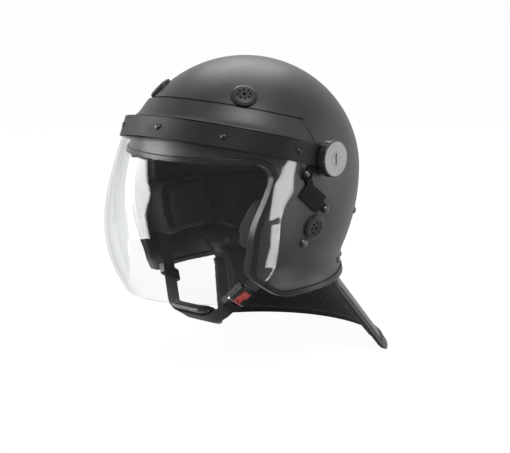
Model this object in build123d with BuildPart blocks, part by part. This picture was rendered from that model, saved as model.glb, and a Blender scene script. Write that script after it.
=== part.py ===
"""Riot helmet with a lifting visor, chin strap and neck guard, all sizes in millimetres.

The frame has +Z up, the wearer faces -Y, and the wearer's left is +X.
The origin is where the crown of the head seats against the crown pad.
"""
import os
from math import acos, asin, atan2, cos, degrees, radians, sin, sqrt, tan

from build123d import *

os.makedirs("parts", exist_ok=True)

# Outer shell
shell_half_width = 125.0
shell_half_length = 145.0
crown_rise = 131.0            # widest level up to the outside of the crown
shell_wall = 4.0
side_arc_radius = 210.0       # side curve below the widest level
flare_drop = 88.0             # widest level down to where the rim starts to flare
flare_radius = 45.0
lower_reach = 128.0           # widest level down to the lowest point of the wall
edge_outline_shares = [(-1.38, 0.028), (-0.414, 0.0), (-0.562, -0.497), (-0.497, -0.883),
                       (-0.302, -1.041), (0.276, -1.02), (1.24, -0.938), (1.24, 1.3), (-1.38, 1.3)]
edge_corner_shares = [0, 0.124, 0.48, 0.17, 0.2, 0, 0, 0, 0]

# Linings
fit_gap = 0.3                 # clearance between neighbouring linings
foam_thickness = 22.0
comfort_thickness = 14.0
foam_edge_setback = 7.0       # foam stays this far inside the shell's edge
foam_side_drop = 45.0         # pivot down to the lower edge of the foam at the sides

# Edge trim
trim_wall = 2.0
trim_cover = 4.5
trim_lip = 2.0

# Visor pivot and its brow line
pivot_forward = 6.0
pivot_rise = 26.0             # pivot above the widest level
pivot_standoff = 5.0          # shell to the inside of the visor band, at the pivot
brow_tilt = 15.0              # band rises to the front by this angle
far = 260.0                   # overrun that clears the whole helmet

# Visor, its band and its seal
visor_wall = 3.0
visor_brow_gap = 5.0          # shell to the inside of the visor, at the front of the band
visor_drop = 165.0            # pivot down to the end of the bubble's form
band_wall = 3.0
band_half_height = 11.5
band_boss_radius = 17.0
visor_tuck = 2.0              # visor's upper edge above the middle of the band
visor_rear = 28.0             # pivot to the visor's hidden rear corner
seal_lip = 2.3
visor_level_shares = [0.376, 0.2, 0, -0.212, -0.473, -0.715, -1.0]
visor_centre_shares = [0.007, -0.007, -0.03, -0.052, -0.067, -0.067, -0.06]
visor_width_shares = [0.953, 0.992, 1.0, 1.008, 1.008, 0.961, 0.811]
visor_front_shares = [0.919, 1.0, 1.14, 1.265, 1.33, 1.276, 1.074]
visor_edge_shares = [(-0.206, -0.048), (-0.418, -0.333), (-0.43, -0.921), (-1.6, -0.921)]
visor_edge_corner_shares = [0.06, 0.3, 0.29, 0]

# Brow fairing moulded on the shell
fairing_step = 3.0
fairing_foot = 12.5           # above the brow line
fairing_top = 35.0
fairing_back = 25.0
fairing_nut_gap = 2.0
fairing_foot_side_gap = 7.5   # fairing's side reach inside the band, at its foot
fairing_mid_shares = (0.24, 0.978, 0.96)
fairing_high_shares = (0.78, 0.93, 0.885)
fairing_corner = 6.0
fairing_groove_width = 2.4
fairing_groove_depth = 1.3

# Pivot hardware
knob_radius = 20.5
knob_depth = 9.0
knob_gap = 0.6                # band to the underside of the knob
knob_edge = 1.6
knob_grips = 18
knob_grip_radius = 1.1
pivot_head_radius = 8.7
pivot_head_depth = 3.0
pivot_slot_width = 2.0
pivot_slot_depth = 1.6
pivot_shank_radius = 4.0
running_gap = 0.06
pivot_base_radius = 16.0
pivot_base_height = 3.4
pivot_nut_radius = 11.0
pivot_nut_depth = 6.0
pivot_barrel_radius = 5.5
friction_washer_radius = 12.0

# Band screws
screw_turns = [0, 36.0, 73.5]
screw_head_radius = 3.6
screw_head_height = 2.0
screw_shank_radius = 2.0
band_nut_radius = 4.4
band_nut_height = 2.0

# Vents
vent_radius = 14.2
vent_rim_height = 2.2
vent_crown_height = 4.6
vent_spigot_radius = 8.5
vent_hole_radius = 1.25
vent_hole_ring = 6.6
vent_hole_count = 8
vent_centre_radius = 1.8
vent_ring_radius = 12.0
vent_ring_height = 2.5
crown_vent_place_shares = (-0.442, 0.466)
ear_vent_place_shares = (-0.08, -0.525)

# Gas mask strap keepers
keeper_wall = 2.4
keeper_gap = 0.3
keeper_pad_width = 22.0
keeper_pad_length = 34.0
keeper_neck_width = 9.0
keeper_corner = 2.0
keeper_top_place_shares = (-0.196, -0.103)
keeper_pad_place_shares = (-0.135, -0.285)
keeper_foot_place_shares = (0.011, -0.394)
eyelet_outer_radius = 7.6
eyelet_inner_radius = 4.6
eyelet_height = 1.6

# Rivets and snaps
rivet_head_radius = 4.2
rivet_head_height = 2.2
rivet_shank_radius = 2.2
rivet_tail_radius = 4.0
rivet_tail_height = 1.2
rear_rivet_place_shares = (0.636, -0.516)
rivet_fit = 0.05

# Chin strap
anchor_place_shares = (-0.15, -0.644)
strap_lean = 31.0             # strap runs forward of straight down
strap_wall = 2.0
strap_width = 22.0
strap_anchor_x = 100.0
strap_tab_length = 9.0
strap_corner_x = 30.0
strap_reach = 106.0
strap_tab_bend = 12.0
strap_chin_bend = 30.0
anchor_shank_radius = 2.5
anchor_head_radius = 5.0
anchor_head_height = 2.6
anchor_tail_height = 1.4
anchor_spacer_radius = 5.0

# Quick-release buckle
buckle_drop = 76.0            # anchor down to the middle of the buckle, along the strap
buckle_length = 30.0
buckle_width = 26.0
buckle_height = 8.0
buckle_floor = 2.0
buckle_corner = 2.5
tongue_width = 9.0
tongue_height = 2.2
tongue_tooth = 0.9
tongue_tooth_pitch = 3.0
lever_width = 11.0
lever_length = 12.0
lever_wall = 2.2
lever_tab = 5.0
lever_pin_radius = 1.25
lever_gap = 0.3

# Chin cup and strap adjuster
cup_half_length = 29.0
cup_width = 42.0
cup_wall = 3.0
cup_pad = 6.0
slider_length = 15.0
slider_wall = 2.0
slider_drop = 62.0

# Cheek parts
cheek_pad_outer = 17.0
cheek_pad_inner = 43.0
cheek_outline_shares = [(-0.40, -0.31), (-0.455, -0.52), (-0.41, -0.71), (0.22, -0.71), (0.24, -0.33)]
cheek_corner = 14.0
cheek_edge = 5.0
strap_notch_shares = [(-0.35, -1.2), (-0.35, -0.6), (-0.2, -0.53), (0.0, -0.53), (0.0, -1.2)]

# Nape pad
nape_pad_depth = 24.0
nape_outline_shares = [(0.42, -0.36), (0.4, -0.73), (0.5, -0.79), (1.3, -0.79), (1.3, -0.36)]
nape_edge = 5.0

# Comfort lining
comfort_ring_top = 44.0       # above the pivot
comfort_ring_foot = 16.0
comfort_groove = 2.4
comfort_groove_depth = 4.0
comfort_pads = 8
crown_pad_foot = 52.0
crown_lobes = 6

# Neck guard
guard_side_shares = [(0.20, -0.70), (0.40, -1.08), (0.73, -1.62), (1.6, -1.62), (1.6, -0.7)]
guard_corner_shares = [0, 0.4, 0.12, 0, 0]
guard_wall = 2.6
guard_pad_wall = 8.0
guard_slope = 38.0
guard_hem_drop = 211.0
guard_pad_margin = 9.0
binding_wall = 1.2
binding_cover = 8.0
guard_screw_turns = [0, 42.0]
guard_screw_drop = 104.0
guard_side_screw_share = 0.52

# Places that follow from the sizes above
comfort_inset = shell_wall + foam_thickness + 2 * fit_gap
guard_inset = shell_wall + trim_wall + fit_gap
crown_top = comfort_inset + comfort_thickness
equator_z = crown_top - crown_rise
pivot_y = -pivot_forward
pivot_z = equator_z + pivot_rise
flare_angle = asin(flare_drop / side_arc_radius)
side_arc_centre = shell_half_length - side_arc_radius
flare_centre = side_arc_centre + (side_arc_radius + flare_radius) * cos(flare_angle)
flare_centre_z = equator_z - (side_arc_radius + flare_radius) * sin(flare_angle)
tilt_cos = cos(radians(brow_tilt))
tilt_sin = sin(radians(brow_tilt))


def dome_radius(z, inset=0.0):
    """Front-to-back radius of the dome at height z, moved inwards by inset."""
    drop = equator_z - z
    if drop <= 0:
        return (shell_half_length - inset) * sqrt(1 - (drop / (crown_rise - inset)) ** 2)
    if drop <= (side_arc_radius - inset) * sin(flare_angle):
        return side_arc_centre + sqrt((side_arc_radius - inset) ** 2 - drop ** 2)
    return flare_centre - sqrt((flare_radius + inset) ** 2 - (z - flare_centre_z) ** 2)


def dome_ratio(inset=0.0):
    """Width of the dome over its length."""
    return (shell_half_width - inset) / (shell_half_length - inset)


def dome_side(y, z, inset=0.0):
    """Distance of the dome's wall from the middle plane."""
    return dome_ratio(inset) * sqrt(dome_radius(z, inset) ** 2 - y ** 2)


def wall_plane(turn, z, inset=0.0):
    """Plane on the dome's wall, facing out, at an angle in degrees from the back towards the left."""
    ratio = dome_ratio(inset)
    radius = dome_radius(z, inset)
    step = running_gap
    slope = (dome_radius(z + step, inset) - dome_radius(z - step, inset)) / (2 * step)
    side = ratio * radius * sin(radians(turn))
    along = radius * cos(radians(turn))
    facing = Vector(side / ratio ** 2, along, -radius * slope)
    return Plane(origin=(side, along, z), x_dir=Vector(0, 0, 1).cross(facing), z_dir=facing)


def side_place(shares):
    """Point (y, z) given as shares of the half length from the pivot."""
    return (pivot_y + shares[0] * shell_half_length, pivot_z + shares[1] * shell_half_length)


def side_wall_plane(shares, inset=0.0):
    """Plane on the left wall at a point given as shares from the pivot."""
    y, z = side_place(shares)
    return wall_plane(degrees(acos(y / dome_radius(z, inset))), z, inset)


def brow_level(height):
    """Plane parallel to the brow line, at a height above the pivot."""
    origin = (0, pivot_y + height * tilt_sin, pivot_z + height * tilt_cos)
    return Plane(origin=origin, x_dir=(1, 0, 0), z_dir=(0, tilt_sin, tilt_cos))


def brow_place(reach, height):
    """Point (y, z) at a reach forward along the brow line and a height above it."""
    return (pivot_y - reach * tilt_cos + height * tilt_sin,
            pivot_z + reach * tilt_sin + height * tilt_cos)


def dome(inset):
    """Solid dome down to the lowest point of the wall, moved inwards by inset."""
    floor_z = equator_z - lower_reach
    flare_end = asin((flare_centre_z - floor_z) / (flare_radius + inset))
    with BuildPart() as form:
        with BuildSketch(Plane.XZ):
            with BuildLine():
                EllipticalCenterArc((0, equator_z), shell_half_length - inset, crown_rise - inset,
                                    arc_size=90)
                CenterArc((side_arc_centre, equator_z), side_arc_radius - inset, 0, -degrees(flare_angle))
                rim = CenterArc((flare_centre, flare_centre_z), flare_radius + inset,
                                180 - degrees(flare_angle), degrees(flare_angle + flare_end))
                Polyline(rim @ 1, (0, floor_z), (0, crown_top - inset))
            make_face()
        revolve(axis=Axis.Z)
        scale(by=(dome_ratio(inset), 1, 1))
    return form.part


def layer(outer_inset, inner_inset):
    """Dome-shaped wall between two insets."""
    outer = dome(outer_inset)
    inner = dome(inner_inset)
    with BuildPart() as form:
        add(outer)
        add(inner, mode=Mode.SUBTRACT)
    return form.part


def side_slab(points, corners):
    """Slab that runs right across the helmet, with the given outline seen from the side."""
    with BuildPart() as slab:
        with BuildSketch(Plane.YZ):
            with BuildLine():
                FilletPolyline(*points, radius=corners, close=True)
            make_face()
        extrude(amount=far, both=True)
    return slab.part


def revolved(points):
    """Solid turned about +Z from points given as radius and height."""
    with BuildPart() as form:
        with BuildSketch(Plane.XZ):
            with BuildLine():
                Polyline(*points, close=True)
            make_face()
        revolve(axis=Axis.Z)
    return form.part


def rivet(head_radius, head_height, shank_radius, grip, tail_radius, tail_height):
    """Domed rivet along Z: its head above zero, its shank and tail below."""
    with BuildPart() as form:
        with BuildSketch(Plane.XZ):
            with BuildLine():
                ThreePointArc((0, head_height), (0.62 * head_radius, 0.8 * head_height), (head_radius, 0))
                Polyline((head_radius, 0), (shank_radius, 0), (shank_radius, -grip), (tail_radius, -grip),
                         (tail_radius, -grip - tail_height), (0, -grip - tail_height), (0, head_height))
            make_face()
        revolve(axis=Axis.Z)
    return form.part


def placed(solid, planes):
    """Copies of a solid on each plane."""
    with BuildPart() as group:
        with Locations(*[plane.location for plane in planes]):
            add(solid)
    return group.part


def both_sides(solid):
    """Solid and its mirror image, as one group."""
    with BuildPart() as pair:
        add(solid)
        mirror(about=Plane.YZ)
    return pair.part


def rod(plane, radius, length):
    """Round rod centred on a plane."""
    with BuildPart() as form:
        with BuildSketch(plane):
            Circle(radius)
        extrude(amount=length, both=True)
    return form.part


def write(piece, name):
    """Label a finished piece and write it."""
    piece.part.label = name
    export_step(piece.part, "parts/" + name + ".step")


def write_pair(piece, name):
    """Write a left piece and its mirrored right piece."""
    write(piece, name + "_left")
    with BuildPart() as other:
        mirror(piece.part, about=Plane.YZ)
    write(other, name + "_right")


def neck_between(start, end):
    """Straight strip on the pad's plane between two points of the wall."""
    first = keeper_pad_plane.to_local_coords(start.origin)
    last = keeper_pad_plane.to_local_coords(end.origin)
    run = last - first
    turn = degrees(atan2(run.Y, run.X))
    with BuildSketch(keeper_pad_plane) as strip:
        with Locations(Location(((first.X + last.X) / 2, (first.Y + last.Y) / 2), turn)):
            SlotCenterToCenter(Vector(run.X, run.Y).length, keeper_neck_width)
    return strip.sketch


def bubble(grow):
    """Closed form of the visor, moved outwards by grow."""
    with BuildPart() as form:
        for level, centre, width, front in zip(visor_levels, visor_centres, visor_widths, visor_fronts):
            with BuildSketch(Plane.XY.offset(level)):
                with Locations((0, pivot_y + centre)):
                    Ellipse(width + grow, front + centre + grow)
        loft()
    return form.part


def between(values, z):
    """Value at height z, in a straight line between the visor's levels."""
    for index in range(len(values) - 1):
        if visor_levels[index] >= z >= visor_levels[index + 1]:
            share = (visor_levels[index] - z) / (visor_levels[index] - visor_levels[index + 1])
            return values[index] + share * (values[index + 1] - values[index])
    return values[-1]


def band_plane(turn):
    """Plane on the visor's outside along the brow line, at an angle in degrees from the front."""
    z = pivot_z
    for _ in screw_turns:
        front = between(visor_fronts, z) + between(visor_centres, z)
        ahead = front * cos(radians(turn)) - between(visor_centres, z)
        z = pivot_z + ahead * tilt_sin / tilt_cos
    width = between(visor_widths, z)
    side = sin(radians(turn)) / width
    forward = cos(radians(turn)) / front
    facing = Vector(side, -forward * tilt_cos, forward * tilt_sin)
    return Plane(origin=(width * sin(radians(turn)), pivot_y - ahead, z),
                 x_dir=Vector(0, tilt_sin, tilt_cos).cross(facing), z_dir=facing)


def strap_layer(outer, inner, width):
    """Layer that follows the strap's loop, between two distances outside its middle line."""
    with BuildPart() as form:
        with BuildSketch(strap_plane):
            with BuildLine():
                FilletPolyline(*strap_points, radius=strap_bends, close=True)
            loop = make_face()
            offset(loop, amount=outer)
            offset(loop, amount=inner, mode=Mode.SUBTRACT)
            with Locations((0, strap_tab_length + far / 2)):
                Rectangle(far, far, mode=Mode.SUBTRACT)
        extrude(amount=width / 2, both=True)
    return form.part


def buckle_block(low, high):
    """Block on the buckle's plane from its lowest to its highest corner."""
    middle = [(a + b) / 2 for a, b in zip(low, high)]
    size = [b - a for a, b in zip(low, high)]
    with BuildPart(buckle_plane) as block:
        with Locations(tuple(middle)):
            Box(*size)
    return block.part


def left_half(solid):
    """The one of two mirrored solids that lies on the wearer's left."""
    with BuildPart() as half:
        add(solid.solids().sort_by(Axis.X)[-1])
    return half.part


def drawn_in(points, middle, margin):
    """Outline points moved towards the middle by a margin."""
    moved = []
    for y, z in points:
        run = Vector(y - middle[0], z - middle[1])
        short = run * ((run.length - margin) / run.length)
        moved.append((middle[0] + short.X, middle[1] + short.Y))
    return moved


def guard_layer(inset, wall, top_drop, hem_drop):
    """Wall that follows the rim's flare and then runs straight out to the hem."""
    outer = flare_radius + inset
    inner = outer + wall
    top_z = equator_z - top_drop
    hem_z = equator_z - hem_drop
    with BuildPart() as form:
        with BuildSketch(Plane.XZ):
            with BuildLine():
                ends = []
                for radius in (outer, inner):
                    lead = degrees(asin((top_z - flare_centre_z) / radius))
                    bend = CenterArc((flare_centre, flare_centre_z), radius, 180 - lead, lead + guard_slope)
                    drop = (bend @ 1).Y - hem_z
                    hem = (bend @ 1) + Vector(drop * tan(slope_angle), -drop)
                    Line(bend @ 1, hem)
                    ends.append((bend @ 0, hem))
                Line(ends[0][0], ends[1][0])
                Line(ends[0][1], ends[1][1])
            make_face()
        revolve(axis=Axis.Z)
        scale(by=(dome_ratio(guard_inset), 1, 1))
    return form.part


# Planes of everything that is fixed through the wall
crown_vent_plane = side_wall_plane(crown_vent_place_shares)
ear_vent_plane = side_wall_plane(ear_vent_place_shares)
keeper_top_plane = side_wall_plane(keeper_top_place_shares)
keeper_pad_plane = side_wall_plane(keeper_pad_place_shares)
keeper_foot_plane = side_wall_plane(keeper_foot_place_shares)
rear_rivet_plane = side_wall_plane(rear_rivet_place_shares)
guard_screw_z = equator_z - guard_screw_drop
guard_side_turn = degrees(acos(guard_side_screw_share))
guard_screw_planes = [wall_plane(turn, guard_screw_z) for turn in guard_screw_turns + [guard_side_turn]]
anchor_y, anchor_z = side_place(anchor_place_shares)
anchor_side = dome_side(anchor_y, anchor_z)
anchor_plane = Plane(origin=(anchor_side, anchor_y, anchor_z), x_dir=(0, 1, 0), z_dir=(1, 0, 0))
pivot_side = dome_side(pivot_y, pivot_z)
pivot_plane = Plane(origin=(pivot_side, pivot_y, pivot_z), x_dir=(0, 1, 0), z_dir=(1, 0, 0))

# Outer shell with its moulded brow fairing
outer_form = dome(0)
edge_points = [side_place(shares) for shares in edge_outline_shares]
edge_corners = [share * shell_half_length for share in edge_corner_shares]
edge_slab = side_slab(edge_points, edge_corners)

brow_z = pivot_z + visor_level_shares[1] * visor_drop
brow_front = dome_radius(brow_z) - pivot_forward + visor_brow_gap + visor_wall
band_side = pivot_side + pivot_standoff
band_reach = brow_front / tilt_cos
fairing_reach = band_reach - visor_wall - seal_lip - fairing_nut_gap
fairing_side = band_side - fairing_foot_side_gap

with BuildPart() as flare_form:
    rings = [(0, 1, 1), fairing_mid_shares, fairing_high_shares]
    for level_share, side_share, reach_share in rings:
        with BuildSketch(brow_level(fairing_foot + level_share * (fairing_top - fairing_foot))):
            Ellipse(fairing_side * side_share, fairing_reach * reach_share)
    loft()

fairing_points = [brow_place(fairing_back, fairing_foot), brow_place(fairing_back, fairing_top),
                  brow_place(far, fairing_top), brow_place(far, fairing_foot)]
fairing_slab = side_slab(fairing_points, [0, fairing_corner, 0, 0])
step_form = dome(-fairing_step)

with BuildPart() as brow_fairing:
    add(step_form)
    add(flare_form.part)
    add(fairing_slab, mode=Mode.INTERSECT)
    add(outer_form, mode=Mode.SUBTRACT)

# Groove in the shell along the fairing's upper edge
groove_skin = layer(-fairing_step, fairing_groove_depth)
groove_points = [brow_place(fairing_back, fairing_top), brow_place(far, fairing_top),
                 brow_place(far, fairing_top + fairing_groove_width),
                 brow_place(fairing_back, fairing_top + fairing_groove_width)]
groove_slab = side_slab(groove_points, 0)
with BuildPart() as fairing_groove:
    add(groove_skin)
    add(groove_slab, mode=Mode.INTERSECT)

shell_layer = layer(0, shell_wall)
wall_holes = [
    (crown_vent_plane, vent_spigot_radius + rivet_fit),
    (ear_vent_plane, vent_spigot_radius + rivet_fit),
    (keeper_top_plane, rivet_shank_radius + rivet_fit),
    (keeper_foot_plane, rivet_shank_radius + rivet_fit),
    (rear_rivet_plane, rivet_shank_radius + rivet_fit),
    (anchor_plane, anchor_shank_radius + rivet_fit),
    (pivot_plane, pivot_barrel_radius + rivet_fit),
]
for plane in guard_screw_planes:
    wall_holes.append((plane, rivet_shank_radius + rivet_fit))
hole_reach = 5 * shell_wall

with BuildPart() as outer_shell:
    add(shell_layer)
    add(edge_slab, mode=Mode.INTERSECT)
    add(brow_fairing.part)
    add(fairing_groove.part, mode=Mode.SUBTRACT)
    for plane, radius in wall_holes:
        drill = rod(plane, radius, hole_reach)
        add(both_sides(drill), mode=Mode.SUBTRACT)
write(outer_shell, "outer_shell")

# Rubber edging that grips the shell's whole edge
with BuildPart() as trim_slab:
    with BuildSketch(Plane.YZ):
        with BuildLine():
            FilletPolyline(*edge_points, radius=edge_corners, close=True)
        edge_face = make_face()
        offset(edge_face, amount=trim_lip)
        offset(edge_face, amount=-trim_cover, mode=Mode.SUBTRACT)
    extrude(amount=far, both=True)
trim_layer = layer(-trim_wall, shell_wall + trim_wall)

with BuildPart() as edge_trim:
    add(trim_layer)
    add(trim_slab.part, mode=Mode.INTERSECT)
    add(outer_shell.part, mode=Mode.SUBTRACT)
write(edge_trim, "edge_trim")

# Vents: domed discs with a ring of holes, each held by a ring inside the wall
vent_body = revolved([(0, 0), (vent_radius, 0), (vent_radius, vent_rim_height),
                      (0.82 * vent_radius, 0.84 * vent_crown_height), (0.45 * vent_radius, vent_crown_height),
                      (0, vent_crown_height)])
vent_depth = shell_wall + vent_ring_height + fit_gap
vent_seat = vent_radius ** 2 / shell_half_width

with BuildPart() as vent_form:
    add(vent_body)
    with BuildSketch(Plane.XY):
        Circle(vent_radius)
    extrude(amount=-vent_seat)
    with BuildSketch(Plane.XY):
        Circle(vent_spigot_radius)
    extrude(amount=-vent_depth - vent_seat)
    with BuildSketch(Plane.XY.offset(vent_rim_height)):
        Circle(vent_centre_radius)
        with PolarLocations(vent_hole_ring, vent_hole_count):
            Circle(vent_hole_radius)
    extrude(amount=vent_radius, both=True, mode=Mode.SUBTRACT)
    with BuildSketch(Plane.XY.offset(-vent_seat)):
        Circle(vent_spigot_radius - vent_hole_radius)
    extrude(amount=-vent_depth, mode=Mode.SUBTRACT)

shell_solid = outer_shell.part
for name, plane in [("crown_vent", crown_vent_plane), ("ear_vent", ear_vent_plane)]:
    with BuildPart() as vent:
        add(placed(vent_form.part, [plane]))
        add(shell_solid, mode=Mode.SUBTRACT)
    write_pair(vent, name)

with BuildPart() as vent_ring_form:
    with BuildSketch(Plane.XY.offset(-shell_wall + vent_seat)):
        Circle(vent_ring_radius)
        Circle(vent_spigot_radius + rivet_fit, mode=Mode.SUBTRACT)
    extrude(amount=-vent_ring_height - vent_seat)

with BuildPart() as vent_rings:
    add(both_sides(placed(vent_ring_form.part, [crown_vent_plane, ear_vent_plane])))
    add(shell_solid, mode=Mode.SUBTRACT)
write(vent_rings, "vent_rings")

# Impact foam, cut away round the vents, the pivot nuts and the air holes
foam_layer = layer(shell_wall + fit_gap, shell_wall + fit_gap + foam_thickness)
foam_foot = pivot_z - foam_side_drop
foam_front = edge_points[1][0] + foam_edge_setback
foam_brow = edge_points[0][1] + foam_edge_setback
foam_slab = side_slab([(-far, foam_brow), (foam_front, foam_brow), (foam_front, foam_foot), (far, foam_foot),
                       (far, far), (-far, far)], [0, foam_edge_setback, foam_edge_setback, 0, 0, 0])
pocket_depth = shell_wall + fit_gap + pivot_nut_depth
air_hole = rod(crown_vent_plane, vent_spigot_radius, 2 * foam_thickness)
ring_pocket = rod(crown_vent_plane, vent_ring_radius + fit_gap, vent_depth + fit_gap + vent_seat)
nut_pocket = rod(pivot_plane, pivot_nut_radius + fit_gap, pocket_depth + 2 * fit_gap)
keeper_pocket = rod(keeper_top_plane, rivet_tail_radius + fit_gap, shell_wall + 2 * rivet_tail_height)

with BuildPart() as impact_foam:
    add(foam_layer)
    add(foam_slab, mode=Mode.INTERSECT)
    for pocket in [air_hole, ring_pocket, nut_pocket, keeper_pocket]:
        add(both_sides(pocket), mode=Mode.SUBTRACT)
write(impact_foam, "impact_foam")

# Comfort lining: a ring of pads round the head and a lobed crown pad
lining_layer = layer(comfort_inset, comfort_inset + comfort_thickness)
ring_foot = pivot_z + comfort_ring_foot
ring_slab = side_slab([(-far, ring_foot), (far, ring_foot), (far, pivot_z + comfort_ring_top),
                       (-far, pivot_z + comfort_ring_top)], 0)
groove_inset = comfort_inset + comfort_thickness - comfort_groove_depth

with BuildPart() as groove_form:
    for index in range(comfort_pads):
        turn = (index + 0.5) * 360 / comfort_pads
        facing = Vector(dome_ratio() * sin(radians(turn)), cos(radians(turn)), 0)
        with BuildSketch(Plane(origin=(0, 0, ring_foot), x_dir=facing, z_dir=(0, 0, 1))):
            with Locations((shell_half_length / 2, 0)):
                Rectangle(shell_half_length, comfort_groove)
        extrude(amount=comfort_ring_top)
groove_limit = dome(groove_inset)

with BuildPart() as groove_cutter:
    add(groove_form.part)
    add(groove_limit, mode=Mode.INTERSECT)

with BuildPart() as comfort_ring:
    add(lining_layer)
    add(ring_slab, mode=Mode.INTERSECT)
    add(groove_cutter.part, mode=Mode.SUBTRACT)
write(comfort_ring, "comfort_ring")

crown_foot = pivot_z + crown_pad_foot
crown_slab = side_slab([(-far, crown_foot), (far, crown_foot), (far, far), (-far, far)], 0)

with BuildPart() as lobe_form:
    for index in range(crown_lobes):
        turn = radians(index * 360 / crown_lobes)
        facing = Vector(dome_ratio() * sin(turn), cos(turn), 0)
        with BuildSketch(Plane(origin=(0, 0, crown_foot), x_dir=facing, z_dir=(0, 0, 1))):
            with Locations((shell_half_length, 0)):
                Rectangle(1.5 * shell_half_length, comfort_groove)
        extrude(amount=crown_rise)

with BuildPart() as crown_pad:
    add(lining_layer)
    add(crown_slab, mode=Mode.INTERSECT)
    add(lobe_form.part, mode=Mode.SUBTRACT)
write(crown_pad, "crown_pad")

# Gas mask strap keepers: a strap held by an eyelet in front and a snap behind
keeper_layer = layer(-keeper_gap - keeper_wall, -keeper_gap)

pad_run = keeper_pad_plane.to_local_coords(keeper_foot_plane.origin)
pad_turn = degrees(atan2(pad_run.Y, pad_run.X))
with BuildPart() as keeper_block:
    with BuildSketch(keeper_pad_plane):
        with Locations(Location((0, 0), pad_turn)):
            RectangleRounded(keeper_pad_length, keeper_pad_width, keeper_corner)
    extrude(amount=keeper_pad_length, both=True)
    for end_plane in [keeper_top_plane, keeper_foot_plane]:
        strip = neck_between(keeper_pad_plane, end_plane)
        extrude(strip, amount=keeper_pad_length, both=True)

keeper_drills = [rod(plane, rivet_shank_radius + rivet_fit, hole_reach)
                 for plane in (keeper_top_plane, keeper_foot_plane)]
with BuildPart() as mask_keeper:
    add(keeper_layer)
    add(keeper_block.part, mode=Mode.INTERSECT)
    for drill in keeper_drills:
        add(drill, mode=Mode.SUBTRACT)
    keep_side = mask_keeper.part.solids().sort_by(Axis.X)[-1]
with BuildPart() as mask_keeper_left:
    add(keep_side)
write_pair(mask_keeper_left, "mask_strap_keeper")

keeper_rise = keeper_gap + keeper_wall
eyelet_crest_radius = (eyelet_inner_radius + eyelet_outer_radius) / 2
eyelet_form = revolved([(eyelet_inner_radius, 0), (eyelet_outer_radius, 0),
                        (eyelet_outer_radius, 0.4 * eyelet_height), (eyelet_crest_radius, eyelet_height),
                        (eyelet_inner_radius, 0.7 * eyelet_height)])
eyelet_plane = keeper_top_plane.offset(keeper_rise)
with BuildPart() as mask_strap_eyelets:
    add(both_sides(placed(eyelet_form, [eyelet_plane])))
    add(both_sides(mask_keeper_left.part), mode=Mode.SUBTRACT)
write(mask_strap_eyelets, "mask_strap_eyelets")

# Rivets, snaps and screws through the wall
keeper_rivet = rivet(rivet_head_radius, rivet_head_height + fit_gap, rivet_shank_radius,
                     keeper_rise + shell_wall, rivet_tail_radius, rivet_tail_height)
wall_rivet = rivet(rivet_head_radius, rivet_head_height, rivet_shank_radius, shell_wall,
                   rivet_tail_radius, rivet_tail_height)
keeper_planes = [keeper_top_plane.offset(keeper_rise), keeper_foot_plane.offset(keeper_rise)]
with BuildPart() as mask_strap_rivets:
    add(both_sides(placed(keeper_rivet, keeper_planes)))
    add(shell_solid, mode=Mode.SUBTRACT)
    add(both_sides(mask_keeper_left.part), mode=Mode.SUBTRACT)
write(mask_strap_rivets, "mask_strap_rivets")

with BuildPart() as rear_rivets:
    add(both_sides(placed(wall_rivet, [rear_rivet_plane])))
    add(shell_solid, mode=Mode.SUBTRACT)
write(rear_rivets, "rear_rivets")

# Visor pivots: seat, washer, knob, screw and nut on each side
with BuildPart() as pivot_base:
    with BuildSketch(pivot_plane.offset(pivot_base_height)):
        Circle(pivot_base_radius)
        Circle(pivot_shank_radius + fit_gap, mode=Mode.SUBTRACT)
    extrude(amount=-pivot_base_height - shell_wall)
    add(outer_form, mode=Mode.SUBTRACT)
    add(brow_fairing.part, mode=Mode.SUBTRACT)
write_pair(pivot_base, "pivot_base")

knob_plane = pivot_plane.offset(pivot_standoff + band_wall + knob_gap)
with BuildPart() as knob_left:
    with BuildSketch(knob_plane):
        Circle(knob_radius)
    extrude(amount=knob_depth)
    rim_edges = knob_left.edges().filter_by(GeomType.CIRCLE).group_by(Axis.X)[-1]
    fillet(rim_edges, radius=knob_edge)
    with BuildSketch(knob_plane.offset(knob_depth - knob_edge)):
        with PolarLocations(knob_radius, knob_grips):
            Circle(knob_grip_radius)
    extrude(amount=-knob_depth, mode=Mode.SUBTRACT)
    with BuildSketch(knob_plane):
        Circle(pivot_shank_radius)
    extrude(amount=knob_depth, mode=Mode.SUBTRACT)
    with BuildSketch(knob_plane.offset(knob_depth - pivot_head_depth)):
        Circle(pivot_head_radius)
    extrude(amount=pivot_head_depth, mode=Mode.SUBTRACT)
write_pair(knob_left, "knob")

with BuildPart() as washer_left:
    with BuildSketch(knob_plane):
        Circle(friction_washer_radius)
        Circle(pivot_shank_radius, mode=Mode.SUBTRACT)
    extrude(amount=-knob_gap / 2)
write_pair(washer_left, "friction_washer")

screw_length = knob_depth + knob_gap + band_wall + pivot_standoff + shell_wall + pivot_nut_depth
screw_top = knob_plane.offset(knob_depth)
with BuildPart() as pivot_screw_left:
    with BuildSketch(screw_top.offset(-pivot_head_depth)):
        Circle(pivot_head_radius)
    extrude(amount=pivot_head_depth)
    with BuildSketch(screw_top.offset(-pivot_head_depth)):
        Circle(pivot_shank_radius)
    extrude(amount=pivot_head_depth - screw_length)
    with BuildSketch(screw_top):
        Rectangle(pivot_slot_width, 1.5 * pivot_head_radius)
    extrude(amount=-pivot_slot_depth, mode=Mode.SUBTRACT)
write_pair(pivot_screw_left, "pivot_screw")

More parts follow.
